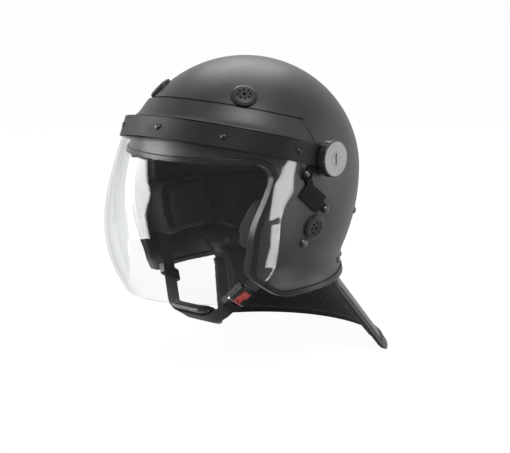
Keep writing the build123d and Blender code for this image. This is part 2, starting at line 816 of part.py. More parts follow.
with BuildPart() as pivot_nut:
    with BuildSketch(pivot_plane.offset(-0.7 * shell_wall)):
        Circle(pivot_nut_radius)
    extrude(amount=-pocket_depth + 0.7 * shell_wall + fit_gap)
    with BuildSketch(pivot_plane.offset(-0.3 * shell_wall)):
        Circle(pivot_barrel_radius)
    extrude(amount=-shell_wall)
    add(rod(pivot_plane, pivot_shank_radius + running_gap, hole_reach), mode=Mode.SUBTRACT)
    add(shell_solid, mode=Mode.SUBTRACT)
write_pair(pivot_nut, "pivot_nut")

# Visor bubble: level sections that bulge forward below the brow
visor_levels = [pivot_z + share * visor_drop for share in visor_level_shares]
visor_centres = [share * brow_front for share in visor_centre_shares]
visor_widths = [share * band_side for share in visor_width_shares]
visor_fronts = [share * brow_front for share in visor_front_shares]

bubble_outer = bubble(0)
bubble_inner = bubble(-visor_wall)
bubble_band = bubble(band_wall)
bubble_lip = bubble(-visor_wall - seal_lip)
screw_planes = [band_plane(turn) for turn in screw_turns]
screw_drills = [rod(plane, screw_shank_radius + rivet_fit, 2 * (band_wall + visor_wall))
                for plane in screw_planes]

visor_points = [brow_place(visor_rear, visor_tuck)]
for shares in visor_edge_shares:
    visor_points.append((pivot_y + shares[0] * visor_drop, pivot_z + shares[1] * visor_drop))
visor_points.append(brow_place(far, visor_tuck))
visor_corners = [0] + [share * visor_drop for share in visor_edge_corner_shares] + [0]
visor_slab = side_slab(visor_points, visor_corners)

with BuildPart() as visor:
    add(bubble_outer)
    add(bubble_inner, mode=Mode.SUBTRACT)
    add(visor_slab, mode=Mode.INTERSECT)
    for drill in screw_drills:
        add(both_sides(drill), mode=Mode.SUBTRACT)
write(visor, "visor")

brow_side = Plane(origin=(0, pivot_y, pivot_z), x_dir=(0, -tilt_cos, tilt_sin), z_dir=(-1, 0, 0))
with BuildPart() as band_slab:
    with BuildSketch(brow_side):
        with Locations((far / 2, 0)):
            Rectangle(far, 2 * band_half_height)
        Circle(band_boss_radius)
    extrude(amount=far, both=True)

with BuildPart() as visor_band:
    add(bubble_band)
    add(bubble_outer, mode=Mode.SUBTRACT)
    add(band_slab.part, mode=Mode.INTERSECT)
    pivot_drill = rod(pivot_plane, pivot_shank_radius + running_gap, 3 * (pivot_standoff + band_wall))
    add(both_sides(pivot_drill), mode=Mode.SUBTRACT)
    for drill in screw_drills:
        add(both_sides(drill), mode=Mode.SUBTRACT)
write(visor_band, "visor_band")

seal_slab = side_slab([brow_place(visor_rear, visor_tuck), brow_place(far, visor_tuck),
                       brow_place(far, band_half_height), brow_place(visor_rear, band_half_height)], 0)
with BuildPart() as visor_seal:
    add(bubble_outer)
    add(bubble_lip, mode=Mode.SUBTRACT)
    add(seal_slab, mode=Mode.INTERSECT)
    for plane in screw_planes:
        nut_room = rod(plane, band_nut_radius + fit_gap, 2 * (band_wall + visor_wall))
        add(both_sides(nut_room), mode=Mode.SUBTRACT)
write(visor_seal, "visor_seal")

screw_form = rivet(screw_head_radius, screw_head_height, screw_shank_radius,
                   band_wall + visor_wall + band_nut_height, 0.8 * screw_shank_radius, 0.2 * band_nut_height)
screw_seats = [plane.offset(band_wall) for plane in screw_planes]
with BuildPart() as screw_group:
    add(placed(screw_form, screw_seats))
    mirror(placed(screw_form, screw_seats[1:]), about=Plane.YZ)
with BuildPart() as band_screws:
    add(screw_group.part)
    add(visor_band.part, mode=Mode.SUBTRACT)
    add(visor.part, mode=Mode.SUBTRACT)
write(band_screws, "band_screws")

with BuildPart() as band_nut_form:
    with BuildSketch(Plane.XY.offset(-visor_wall + rivet_fit)):
        Circle(band_nut_radius)
        Circle(screw_shank_radius, mode=Mode.SUBTRACT)
    extrude(amount=-band_nut_height)
with BuildPart() as band_nut_group:
    add(placed(band_nut_form.part, screw_planes))
    mirror(placed(band_nut_form.part, screw_planes[1:]), about=Plane.YZ)
with BuildPart() as band_nuts:
    add(band_nut_group.part)
    add(visor.part, mode=Mode.SUBTRACT)
write(band_nuts, "band_nuts")

# Chin strap: one flat loop in a plane that leans forward under the chin
strap_plane = Plane(origin=(0, anchor_y, anchor_z), x_dir=(1, 0, 0),
                    z_dir=(0, -cos(radians(strap_lean)), sin(radians(strap_lean))))
strap_start = (strap_anchor_x, -strap_tab_length)
strap_corner = (strap_corner_x, -strap_reach)
strap_points = [(strap_anchor_x, strap_reach), strap_start, strap_corner, (-strap_corner_x, -strap_reach),
                (-strap_anchor_x, -strap_tab_length), (-strap_anchor_x, strap_reach)]
strap_bends = [0, strap_tab_bend, strap_chin_bend, strap_chin_bend, strap_tab_bend, 0]

slope_run = Vector(strap_corner_x - strap_anchor_x, strap_tab_length - strap_reach)
slope_length = slope_run.length
slope_x = slope_run.X / slope_length
slope_y = slope_run.Y / slope_length
buckle_run = (buckle_drop - strap_tab_length) / -slope_y
buckle_origin = strap_plane.from_local_coords((strap_anchor_x + slope_x * buckle_run,
                                               -strap_tab_length + slope_y * buckle_run))
strap_side_dir = strap_plane.x_dir
strap_up_dir = strap_plane.y_dir
buckle_plane = Plane(origin=buckle_origin, x_dir=strap_side_dir * slope_x + strap_up_dir * slope_y,
                     z_dir=strap_up_dir * slope_x - strap_side_dir * slope_y)

buckle_run_axis = Axis(buckle_plane.origin, buckle_plane.x_dir)
anchor_drill = rod(anchor_plane, anchor_shank_radius + running_gap, far / 2)
strap_half_wall = strap_wall / 2
strap_loop = strap_layer(strap_half_wall, -strap_half_wall, strap_width)
tongue_start = -buckle_length / 2 - buckle_length / 3
strap_end = -buckle_length / 2 - lever_tab / 2
frame_end = buckle_length / 2
frame_block_start = frame_end - buckle_length / 4
upper_zone = buckle_block((-far, -far, -far), (strap_end, far, far))
lower_zone = buckle_block((frame_block_start + buckle_floor, -far, -far), (far, far, far))

with BuildPart() as chin_strap_left:
    add(strap_loop)
    add(upper_zone, mode=Mode.INTERSECT)
    add(anchor_drill, mode=Mode.SUBTRACT)
write(chin_strap_left, "chin_strap_left")

with BuildPart() as chin_strap_right:
    add(strap_loop)
    add(lower_zone, mode=Mode.INTERSECT)
    add(both_sides(anchor_drill), mode=Mode.SUBTRACT)
write(chin_strap_right, "chin_strap_right")

# Anchor rivets and their spacers
anchor_grip = anchor_side - strap_anchor_x + strap_half_wall + fit_gap
anchor_lean = dome_side(anchor_y, anchor_z + anchor_head_radius) - anchor_side
anchor_form = rivet(anchor_head_radius, anchor_head_height, anchor_shank_radius, anchor_grip + anchor_lean,
                    0.9 * anchor_head_radius, anchor_tail_height)
anchor_seat = anchor_plane.offset(anchor_lean)
with BuildPart() as anchor_rivet:
    add(placed(anchor_form, [anchor_seat]))
    with BuildSketch(anchor_seat):
        Circle(anchor_head_radius)
    extrude(amount=-2 * anchor_lean)
    add(shell_solid, mode=Mode.SUBTRACT)
with BuildPart() as anchor_rivets:
    add(both_sides(anchor_rivet.part))
write(anchor_rivets, "anchor_rivets")

with BuildPart() as spacer:
    with BuildSketch(anchor_plane.offset(-anchor_grip + strap_wall + 2 * fit_gap)):
        Circle(anchor_spacer_radius)
        Circle(anchor_shank_radius + rivet_fit, mode=Mode.SUBTRACT)
    extrude(amount=anchor_grip - strap_wall - shell_wall)
    add(shell_solid, mode=Mode.SUBTRACT)
with BuildPart() as anchor_spacers:
    add(both_sides(spacer.part))
write(anchor_spacers, "anchor_spacers")

# Quick-release buckle on the left: frame, toothed tongue, red lever, pin and spring
tongue_top = -strap_half_wall - rivet_fit
tongue_floor = tongue_top - tongue_height
frame_floor = tongue_floor - fit_gap - buckle_floor
frame_top = frame_floor + buckle_height
cavity_half = lever_width / 2 + lever_gap
lever_floor = tongue_top + tongue_tooth + fit_gap
lever_pin_x = frame_block_start - 2 * lever_pin_radius - 2 * lever_gap
lever_pin_z = lever_floor + lever_wall / 2
lever_end = lever_pin_x - lever_length
lever_half = lever_width / 2
knuckle_radius = lever_wall / 2 + lever_pin_radius / 2
pin_axis_plane = Plane(origin=buckle_plane.from_local_coords((lever_pin_x, 0, lever_pin_z)),
                       x_dir=buckle_plane.x_dir, z_dir=buckle_plane.y_dir)

frame_body = buckle_block((-frame_end, -buckle_width / 2, frame_floor),
                          (frame_end, buckle_width / 2, frame_top))
frame_cavity = buckle_block((-far, -cavity_half, frame_floor + buckle_floor),
                            (frame_block_start, cavity_half, far))
with BuildPart() as buckle_frame:
    add(frame_body)
    add(frame_cavity, mode=Mode.SUBTRACT)
    corner_edges = buckle_frame.edges().filter_by(lambda edge: abs(edge.length - buckle_height) < rivet_fit)
    fillet(corner_edges.sort_by(buckle_run_axis)[-2:], radius=buckle_corner)
    add(chin_strap_right.part, mode=Mode.SUBTRACT)
    add(rod(pin_axis_plane, lever_pin_radius, buckle_width), mode=Mode.SUBTRACT)
write(buckle_frame, "buckle_frame")

tongue_end = lever_pin_x - knuckle_radius - lever_gap
tongue_plate = buckle_block((tongue_start, -tongue_width / 2, tongue_floor),
                            (tongue_end, tongue_width / 2, tongue_top))
tooth_count = int((tongue_end + frame_end) / tongue_tooth_pitch)
tooth_plane = Plane(origin=buckle_plane.origin, x_dir=buckle_plane.x_dir, z_dir=-buckle_plane.y_dir)
with BuildPart() as buckle_tongue:
    add(tongue_plate)
    for index in range(tooth_count):
        foot = tongue_end - index * tongue_tooth_pitch
        with BuildSketch(tooth_plane):
            with BuildLine():
                Polyline((foot, tongue_top), (foot, tongue_top + tongue_tooth),
                         (foot - tongue_tooth_pitch, tongue_top), close=True)
            make_face()
        extrude(amount=tongue_width / 2, both=True)
write(buckle_tongue, "buckle_tongue")

lever_plate = buckle_block((lever_end, -lever_half, lever_floor),
                           (lever_pin_x, lever_half, lever_floor + lever_wall))
pull_tab = buckle_block((lever_end - lever_tab, -lever_half, lever_floor + lever_wall / 2),
                        (lever_end + lever_tab / 2, lever_half, lever_floor + 2 * lever_wall))
spring_half = lever_half / 3
spring_slot = buckle_block((lever_pin_x - 2 * knuckle_radius, -spring_half, -far), (far, spring_half, far))
with BuildPart() as release_lever:
    add(lever_plate)
    add(pull_tab)
    add(rod(pin_axis_plane, knuckle_radius, lever_half))
    add(spring_slot, mode=Mode.SUBTRACT)
    add(rod(pin_axis_plane, lever_pin_radius + running_gap, buckle_width), mode=Mode.SUBTRACT)
write(release_lever, "release_lever")

with BuildPart() as lever_pin:
    add(rod(pin_axis_plane, lever_pin_radius, buckle_width / 2))
write(lever_pin, "lever_pin")

spring_wire = lever_pin_radius / 4
spring_radius = lever_pin_radius + spring_wire + running_gap
spring_length = 2 * spring_half - 4 * spring_wire
spring_pitch = 3 * spring_wire
spring_plane = pin_axis_plane.offset(-spring_length / 2)
with BuildPart() as spring_form:
    with BuildLine():
        coil = Helix(pitch=spring_pitch, height=spring_length, radius=spring_radius)
    with BuildSketch(Plane(origin=coil @ 0, z_dir=coil % 0)):
        Circle(spring_wire)
    sweep(path=coil, is_frenet=True)
with BuildPart() as lever_spring:
    add(placed(spring_form.part, [spring_plane]))
write(lever_spring, "lever_spring")

# Chin cup with its pad, and the length slider on the right
cup_plane = Plane(origin=strap_plane.from_local_coords((0, -strap_reach / 2)), x_dir=strap_plane.x_dir,
                  z_dir=strap_plane.y_dir)
cup_inner = strap_half_wall + cup_wall
cup_layer = strap_layer(-strap_half_wall, -cup_inner, cup_width)
pad_layer = strap_layer(-cup_inner, -cup_inner - cup_pad, cup_width)
for name, cup_part, margin in [("chin_cup", cup_layer, 0), ("chin_cup_pad", pad_layer, cup_wall)]:
    with BuildPart() as cup_piece:
        add(cup_part)
        with BuildSketch(cup_plane):
            RectangleRounded(2 * (cup_half_length - margin), cup_width - 2 * margin, cup_width / 4)
        extrude(amount=-far, mode=Mode.INTERSECT)
    write(cup_piece, name)

slider_middle = (slider_drop - buckle_drop) / -slope_y
slider_half_height = strap_half_wall + slider_wall
slider_half_width = strap_width / 2 + 2 * slider_wall
slider_block = buckle_block((slider_middle - slider_length / 2, -slider_half_width, -slider_half_height),
                            (slider_middle + slider_length / 2, slider_half_width, slider_half_height))
with BuildPart() as slider_body:
    add(slider_block)
    fillet(slider_body.edges().filter_by(Axis(buckle_plane.origin, buckle_plane.z_dir)), radius=slider_wall)
with BuildPart() as strap_slider:
    mirror(slider_body.part, about=Plane.YZ)
    add(chin_strap_right.part, mode=Mode.SUBTRACT)
write(strap_slider, "strap_slider")

# Cheek blocks against the wall and cheek pads against the face
cheek_points = [side_place(shares) for shares in cheek_outline_shares]
notch_points = [side_place(shares) for shares in strap_notch_shares]
cheek_slab = side_slab(cheek_points, cheek_corner)
notch_slab = side_slab(notch_points, 0)
block_layer = layer(shell_wall + fit_gap, cheek_pad_outer - fit_gap)
vent_pocket = rod(ear_vent_plane, vent_ring_radius + fit_gap, 2 * cheek_pad_outer)
foot_pocket = rod(keeper_foot_plane, rivet_tail_radius + fit_gap, shell_wall + 2 * rivet_tail_height)

with BuildPart() as cheek_blocks:
    add(block_layer)
    add(cheek_slab, mode=Mode.INTERSECT)
    for cutter in [notch_slab, both_sides(vent_pocket), both_sides(foot_pocket)]:
        add(cutter, mode=Mode.SUBTRACT)
with BuildPart() as cheek_block:
    add(left_half(cheek_blocks.part))
write_pair(cheek_block, "cheek_block")

cheek_middle = (sum(point[0] for point in cheek_points) / len(cheek_points),
                sum(point[1] for point in cheek_points) / len(cheek_points))

cheek_body = layer(cheek_pad_outer, cheek_pad_inner - cheek_edge)
cheek_crown = layer(cheek_pad_inner - cheek_edge, cheek_pad_inner)
crown_slab_cheek = side_slab(drawn_in(cheek_points, cheek_middle, 2 * cheek_edge), cheek_corner - cheek_edge)
with BuildPart() as cheek_cushions:
    add(cheek_body)
    add(cheek_slab, mode=Mode.INTERSECT)
with BuildPart() as cheek_crowns:
    add(cheek_crown)
    add(crown_slab_cheek, mode=Mode.INTERSECT)
with BuildPart() as cheek_pad:
    add(left_half(cheek_cushions.part))
    add(left_half(cheek_crowns.part))
write_pair(cheek_pad, "cheek_pad")

# Nape pad inside the back of the shell
nape_points = [side_place(shares) for shares in nape_outline_shares]
nape_slab = side_slab(nape_points, 0)
nape_inner = shell_wall + fit_gap + nape_pad_depth
nape_body = layer(shell_wall + fit_gap, nape_inner - nape_edge)
nape_crown = layer(nape_inner - nape_edge, nape_inner)
nape_crown_points = [(nape_points[0][0] + nape_edge, nape_points[0][1] - nape_edge),
                     (nape_points[2][0], nape_points[2][1] + nape_edge),
                     (far, nape_points[3][1] + nape_edge), (far, nape_points[4][1] - nape_edge)]
nape_crown_slab = side_slab(nape_crown_points, 0)
rivet_pocket = rod(rear_rivet_plane, rivet_tail_radius + fit_gap, shell_wall + 2 * rivet_tail_height)
with BuildPart() as nape_crown_part:
    add(nape_crown)
    add(nape_crown_slab, mode=Mode.INTERSECT)
with BuildPart() as nape_pad:
    add(nape_body)
    add(nape_slab, mode=Mode.INTERSECT)
    add(nape_crown_part.part)
    add(both_sides(rivet_pocket), mode=Mode.SUBTRACT)
write(nape_pad, "nape_pad")

# Neck guard: a flared skirt with a pad inside and a bound edge
slope_angle = radians(guard_slope)

guard_points = [side_place(shares) for shares in guard_side_shares]
guard_corners = [share * shell_half_length for share in guard_corner_shares]
hem_z = equator_z - guard_hem_drop
guard_top_drop = equator_z - nape_points[2][1] + fit_gap
guard_points[2] = (guard_points[2][0], hem_z)
guard_points[3] = (guard_points[3][0], hem_z)
guard_slab = side_slab(guard_points, guard_corners)
guard_base = guard_layer(guard_inset, guard_wall, guard_top_drop, guard_hem_drop)
guard_drills = [rod(plane, rivet_shank_radius + rivet_fit, hole_reach) for plane in guard_screw_planes]

with BuildPart() as neck_guard:
    add(guard_base)
    add(guard_slab, mode=Mode.INTERSECT)
    for drill in guard_drills:
        add(both_sides(drill), mode=Mode.SUBTRACT)
write(neck_guard, "neck_guard")

guard_pad_base = guard_layer(guard_inset + guard_wall, guard_pad_wall, guard_screw_drop + guard_pad_margin,
                             guard_hem_drop - guard_pad_margin)
with BuildPart() as pad_slab:
    with BuildSketch(Plane.YZ):
        with BuildLine():
            FilletPolyline(*guard_points, radius=guard_corners, close=True)
        guard_face = make_face()
        offset(guard_face, amount=-guard_pad_margin)
    extrude(amount=far, both=True)
with BuildPart() as guard_pad:
    add(guard_pad_base)
    add(pad_slab.part, mode=Mode.INTERSECT)
write(guard_pad, "guard_pad")

binding_base = guard_layer(guard_inset - binding_wall, guard_wall + 2 * binding_wall, guard_top_drop,
                           guard_hem_drop + binding_wall)
rim_foot = edge_points[5][1] - trim_lip - trim_wall
with BuildPart() as binding_slab:
    with BuildSketch(Plane.YZ):
        with BuildLine():
            FilletPolyline(*guard_points, radius=guard_corners, close=True)
        bound_face = make_face()
        offset(bound_face, amount=binding_wall)
        offset(bound_face, amount=-binding_cover, mode=Mode.SUBTRACT)
        with Locations((0, rim_foot + far)):
            Rectangle(2 * far, 2 * far, mode=Mode.SUBTRACT)
    extrude(amount=far, both=True)
with BuildPart() as guard_binding:
    add(binding_base)
    add(binding_slab.part, mode=Mode.INTERSECT)
    add(neck_guard.part, mode=Mode.SUBTRACT)
write(guard_binding, "guard_binding")

guard_screw = rivet(rivet_head_radius, rivet_head_height, rivet_shank_radius,
                    guard_inset + guard_wall + 2 * fit_gap, rivet_tail_radius, rivet_tail_height)
guard_seats = [plane.offset(fit_gap) for plane in guard_screw_planes]
with BuildPart() as guard_screws:
    add(placed(guard_screw, guard_seats))
    mirror(placed(guard_screw, guard_seats[1:]), about=Plane.YZ)
write(guard_screws, "guard_screws")
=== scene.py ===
"""Looks of a riot helmet: clear bubble visor, matt shell, lining, chin strap and neck guard."""

import logging
from bisect import bisect
from dataclasses import dataclass
from enum import Enum
from itertools import accumulate
from math import atan2, cos, pi, radians, sin, tan
from typing import Any, Sequence

import bmesh
import bpy
from mathutils import Matrix, Vector
from mathutils.bvhtree import BVHTree


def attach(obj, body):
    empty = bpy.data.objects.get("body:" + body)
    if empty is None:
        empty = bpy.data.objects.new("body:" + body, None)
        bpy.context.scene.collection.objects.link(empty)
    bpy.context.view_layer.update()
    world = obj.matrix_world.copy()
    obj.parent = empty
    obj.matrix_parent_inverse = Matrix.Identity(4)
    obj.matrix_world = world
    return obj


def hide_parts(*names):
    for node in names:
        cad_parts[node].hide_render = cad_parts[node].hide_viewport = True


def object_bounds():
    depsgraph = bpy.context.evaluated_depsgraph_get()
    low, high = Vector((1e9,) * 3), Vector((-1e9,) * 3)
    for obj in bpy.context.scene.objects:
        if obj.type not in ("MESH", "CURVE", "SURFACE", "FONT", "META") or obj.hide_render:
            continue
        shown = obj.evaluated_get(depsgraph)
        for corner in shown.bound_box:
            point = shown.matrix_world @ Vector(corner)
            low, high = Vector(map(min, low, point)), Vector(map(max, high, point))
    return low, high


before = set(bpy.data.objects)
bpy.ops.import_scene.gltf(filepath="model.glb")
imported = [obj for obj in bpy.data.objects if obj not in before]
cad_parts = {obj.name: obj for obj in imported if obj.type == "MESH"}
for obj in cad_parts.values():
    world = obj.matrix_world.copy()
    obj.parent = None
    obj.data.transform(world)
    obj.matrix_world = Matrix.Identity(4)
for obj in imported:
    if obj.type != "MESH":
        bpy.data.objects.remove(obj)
cad_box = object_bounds()
log = logging.getLogger("riot_helmet")

MM = 0.001
Colour = tuple[float, float, float]
Point = tuple[float, float, float]
Span = tuple[float, float]
Easing = tuple[float, int]  # width of a mesh's faces, and rounds of easing its corners
LEFT = Vector((1.0, 0.0, 0.0))
SIDES = (("left", 1.0), ("right", -1.0))
FAR = 0.4  # a ray starts this far out, in metres, clear of the whole helmet


class Weave(Enum):
    """How a cloth finish is made."""

    KNIT = "knit"
    WEBBING = "webbing"
    TAPE = "tape"


class Signal:
    """A shader socket whose sums are written as Python expressions."""

    def __init__(self, recipe: "Recipe", socket: Any) -> None:
        """Keep the socket and the recipe that it belongs to."""
        self.recipe = recipe
        self.socket = socket

    def _sum(self, operation: str, *values: Any) -> "Signal":
        """Add one Math node.

        Args:
            operation: the Math node's operation.
            values: its inputs, in order.

        Returns:
            The node's result.
        """
        return self.recipe.node("ShaderNodeMath", {"operation": operation},
                                dict(enumerate(values)))

    def __add__(self, other: Any) -> "Signal":
        """Sum of two values."""
        return self._sum("ADD", self, other)

    __radd__ = __add__

    def __sub__(self, other: Any) -> "Signal":
        """This value less the other."""
        return self._sum("SUBTRACT", self, other)

    def __rsub__(self, other: Any) -> "Signal":
        """The other value less this one."""
        return self._sum("SUBTRACT", other, self)

    def __mul__(self, other: Any) -> "Signal":
        """Product of two values."""
        return self._sum("MULTIPLY", self, other)

    __rmul__ = __mul__

    def __pow__(self, other: Any) -> "Signal":
        """This value to a power."""
        return self._sum("POWER", self, other)

    def __rpow__(self, other: Any) -> "Signal":
        """The other value to the power of this one."""
        return self._sum("POWER", other, self)

    def sine(self) -> "Signal":
        """Sine of this value in radians."""
        return self._sum("SINE", self)

    def size(self) -> "Signal":
        """This value without its sign."""
        return self._sum("ABSOLUTE", self)

    def larger(self, other: Any) -> "Signal":
        """The larger of two values."""
        return self._sum("MAXIMUM", self, other)

    def spread(self, low: float, high: float) -> "Signal":
        """Smooth step from 0 at low to 1 at high."""
        settings = {"interpolation_type": "SMOOTHSTEP"}
        return self.recipe.node("ShaderNodeMapRange", settings, {0: self, 1: low, 2: high})


class Recipe:
    """One material's node tree, built by calls."""

    output_kind = "ShaderNodeOutputMaterial"

    def __init__(self, name: str) -> None:
        """Start an empty material."""
        self.owner = bpy.data.materials.new(name)
        self.clear()

    def clear(self) -> None:
        """Empty the owner's node tree."""
        self.owner.use_nodes = True
        self.tree = self.owner.node_tree
        self.tree.nodes.clear()

    def node(self, kind: str, settings: dict[str, Any] | None = None,
             inputs: dict[Any, Any] | None = None, output: Any = 0) -> Signal:
        """Add one node.

        Args:
            kind: the node's type.
            settings: its own settings, set first.
            inputs: values or links, by socket name or number.
            output: the name or number of the socket returned.

        Returns:
            The chosen output.
        """
        made = self.tree.nodes.new(kind)
        for key, value in (settings or {}).items():
            setattr(made, key, value)
        for key, value in (inputs or {}).items():
            self.feed(made.inputs[key], value)
        return Signal(self, made.outputs[output])

    def feed(self, socket: Any, value: Any) -> None:
        """Link a signal to a socket, or set the socket's own value.

        Args:
            socket: the socket fed.
            value: a signal, a number, a vector or a colour without its alpha.
        """
        if isinstance(value, Signal):
            self.tree.links.new(value.socket, socket)
        elif isinstance(value, tuple) and len(value) == 3 and socket.type == "RGBA":
            socket.default_value = (*value, 1.0)
        else:
            socket.default_value = value

    def place(self) -> Signal:
        """Coordinates that stay with the object, in metres."""
        return self.node("ShaderNodeTexCoord", output="Object")

    def split(self, vector: Signal) -> tuple[Signal, ...]:
        """The three numbers of a vector."""
        first = self.node("ShaderNodeSeparateXYZ", {}, {0: vector})
        return tuple(Signal(self, socket) for socket in first.socket.node.outputs)

    def noise(self, size: float, detail: float = 3.0, rough: float = 0.55) -> Signal:
        """Soft noise.

        Args:
            size: width of its largest spots, in metres.
            detail: how many finer layers it has.
            rough: strength of the finer layers.

        Returns:
            The noise, from 0 to 1.
        """
        inputs = {"Vector": self.place(), "Scale": 1 / size, "Detail": detail,
                  "Roughness": rough}
        return self.node("ShaderNodeTexNoise", {}, inputs)

    def cells(self, size: float) -> Signal:
        """Distance to the middle of rounded cells of that width."""
        inputs = {"Vector": self.place(), "Scale": 1 / size, "Smoothness": 0.35}
        return self.node("ShaderNodeTexVoronoi", {"feature": "SMOOTH_F1"}, inputs)

    def blend(self, share: Any, first: Colour, second: Colour) -> Signal:
        """Colour between two colours."""
        return self.node("ShaderNodeMix", {"data_type": "RGBA"},
                         {0: share, 6: first, 7: second}, 2)

    def mix(self, share: Any, first: Signal, second: Signal) -> Signal:
        """Shader between two shaders."""
        return self.node("ShaderNodeMixShader", {}, {0: share, 1: first, 2: second})

    def bump(self, height: Signal, depth: float) -> Signal:
        """Normal from a height of 0 to 1, with its depth in metres."""
        return self.node("ShaderNodeBump", {}, {"Height": height * depth, "Distance": 1.0})

    def surface(self, **inputs: Any) -> Signal:
        """Principled surface with the given sockets; underscores stand for spaces."""
        named = {key.replace("_", " "): value for key, value in inputs.items()}
        return self.node("ShaderNodeBsdfPrincipled", {}, named)

    def done(self, shader: Signal) -> Any:
        """Send the shader to the output.

        Args:
            shader: the finished shader.

        Returns:
            The material or the world.
        """
        output = self.tree.nodes.new(self.output_kind)
        self.tree.links.new(shader.socket, output.inputs["Surface"])
        return self.owner


class Sky(Recipe):
    """The world's node tree, built by the same calls."""

    output_kind = "ShaderNodeOutputWorld"

    def __init__(self, name: str) -> None:
        """Start an empty world and use it.

        Args:
            name: the world's name.
        """
        self.owner = bpy.data.worlds.new(name)
        self.clear()
        bpy.context.scene.world = self.owner


@dataclass(frozen=True)
class MattPaint:
    """Matt paint with a fine orange peel and a little dust."""

    name: str = "matt_black_paint"
    colour: Colour = (0.028, 0.027, 0.026)
    dust: Colour = (0.055, 0.053, 0.05)
    roughness: float = 0.4
    gloss: float = 0.6
    peel_size: float = 0.9 * MM
    peel_depth: float = 0.03 * MM
    patch_size: float = 45 * MM
    patch_span: Span = (0.35, 0.75)
    speck_size: float = 0.5 * MM
    speck_span: Span = (0.68, 0.76)

    def make(self) -> bpy.types.Material:
        """Build the material.

        Returns:
            The material.
        """
        recipe = Recipe(self.name)
        patches = recipe.noise(self.patch_size, 4.0).spread(*self.patch_span)
        peel = recipe.noise(self.peel_size, 2.0)
        specks = recipe.noise(self.speck_size, 1.0).spread(*self.speck_span)
        colour = recipe.blend(patches * 0.4 + specks * 0.25, self.colour, self.dust)
        return recipe.done(recipe.surface(
            Base_Color=colour, Roughness=self.roughness + patches * 0.06 + specks * 0.1,
            Normal=recipe.bump(peel, self.peel_depth), Specular_IOR_Level=self.gloss))


@dataclass(frozen=True)
class Moulded:
    """Moulded plastic or rubber: its texture, its worn high spots and its gloss."""

    name: str
    colour: Colour
    roughness: float
    grain_size: float = 0.7 * MM
    grain_depth: float = 0.02 * MM
    worn: Colour = (0.05, 0.05, 0.05)
    wear_size: float = 14 * MM
    wear_span: Span = (0.55, 0.8)
    gloss: float = 0.5

    def make(self) -> bpy.types.Material:
        """Build the material.

        Returns:
            The material.
        """
        recipe = Recipe(self.name)
        grain = recipe.noise(self.grain_size)
        wear = recipe.noise(self.wear_size, 5.0, 0.65).spread(*self.wear_span)
        colour = recipe.blend(wear * 0.35, self.colour, self.worn)
        return recipe.done(recipe.surface(
            Base_Color=colour, Roughness=self.roughness + wear * 0.08 + (grain - 0.5) * 0.06,
            Normal=recipe.bump(grain, self.grain_depth), Specular_IOR_Level=self.gloss))


@dataclass(frozen=True)
class KnobPlasticPaintedSheen:
    """Satin black plastic of the pivot knobs: a painted sheen makes the turned face pale,
    within the dark grip.
    """

    name: str = "knob_plastic_painted_sheen"
    # painted sheen: the face is coloured pale where the black plastic mirrors light
    face: Colour = (0.34, 0.34, 0.34)
    grip: Colour = (0.02, 0.02, 0.02)
    roughness: float = 0.36
    gloss: float = 0.6
    centre: Span = (-6.0 * MM, -64.4 * MM)
    # reach from the pivot where the painted sheen on the face gives way to the dark grip
    fade: Span = (17.8 * MM, 20.0 * MM)
    ring_width: float = 0.8 * MM
    ring_depth: float = 0.02 * MM
    wear_size: float = 6 * MM
    wear_span: Span = (0.5, 0.8)

    def make(self) -> bpy.types.Material:
        """Build the material.

        Returns:
            The material.
        """
        recipe = Recipe(self.name)
        _, back, up = recipe.split(recipe.place())
        reach = ((back - self.centre[0]) ** 2 + (up - self.centre[1]) ** 2) ** 0.5
        rings = (reach * (2 * pi / self.ring_width)).sine() * 0.5 + 0.5
        wear = recipe.noise(self.wear_size, 4.0).spread(*self.wear_span)
        # painted sheen on the face, the grip's own dark colour outside it, darkened a little by
        # wear
        colour = recipe.blend(reach.spread(*self.fade) + wear * 0.15, self.face, self.grip)
        return recipe.done(recipe.surface(
            Base_Color=colour, Roughness=self.roughness + wear * 0.1,
            Normal=recipe.bump(rings, self.ring_depth), Specular_IOR_Level=self.gloss))


@dataclass(frozen=True)
class Pebbled:
    """Plastic or leathercloth with a pebbled grain."""

    name: str
    colour: Colour
    roughness: float
    pebble_size: float = 1.5 * MM
    pebble_depth: float = 0.16 * MM
    pebble_span: Span = (0.35, 0.75)
    valley: Colour = (0.006, 0.006, 0.006)
    fine_size: float = 0.4 * MM
    wear_size: float = 25 * MM
    wear_span: Span = (0.5, 0.8)
    gloss: float = 0.5

    def make(self) -> bpy.types.Material:
        """Build the material.

        Returns:
            The material.
        """
        recipe = Recipe(self.name)
        pebbles = 1.0 - recipe.cells(self.pebble_size)
        fine = recipe.noise(self.fine_size, 2.0)
        wear = recipe.noise(self.wear_size, 4.0).spread(*self.wear_span)
        height = pebbles * 0.85 + fine * 0.15
        colour = recipe.blend(pebbles.spread(*self.pebble_span), self.valley, self.colour)
        return recipe.done(recipe.surface(
            Base_Color=colour, Roughness=self.roughness - pebbles * 0.1 + wear * 0.08,
            Normal=recipe.bump(height, self.pebble_depth), Specular_IOR_Level=self.gloss))


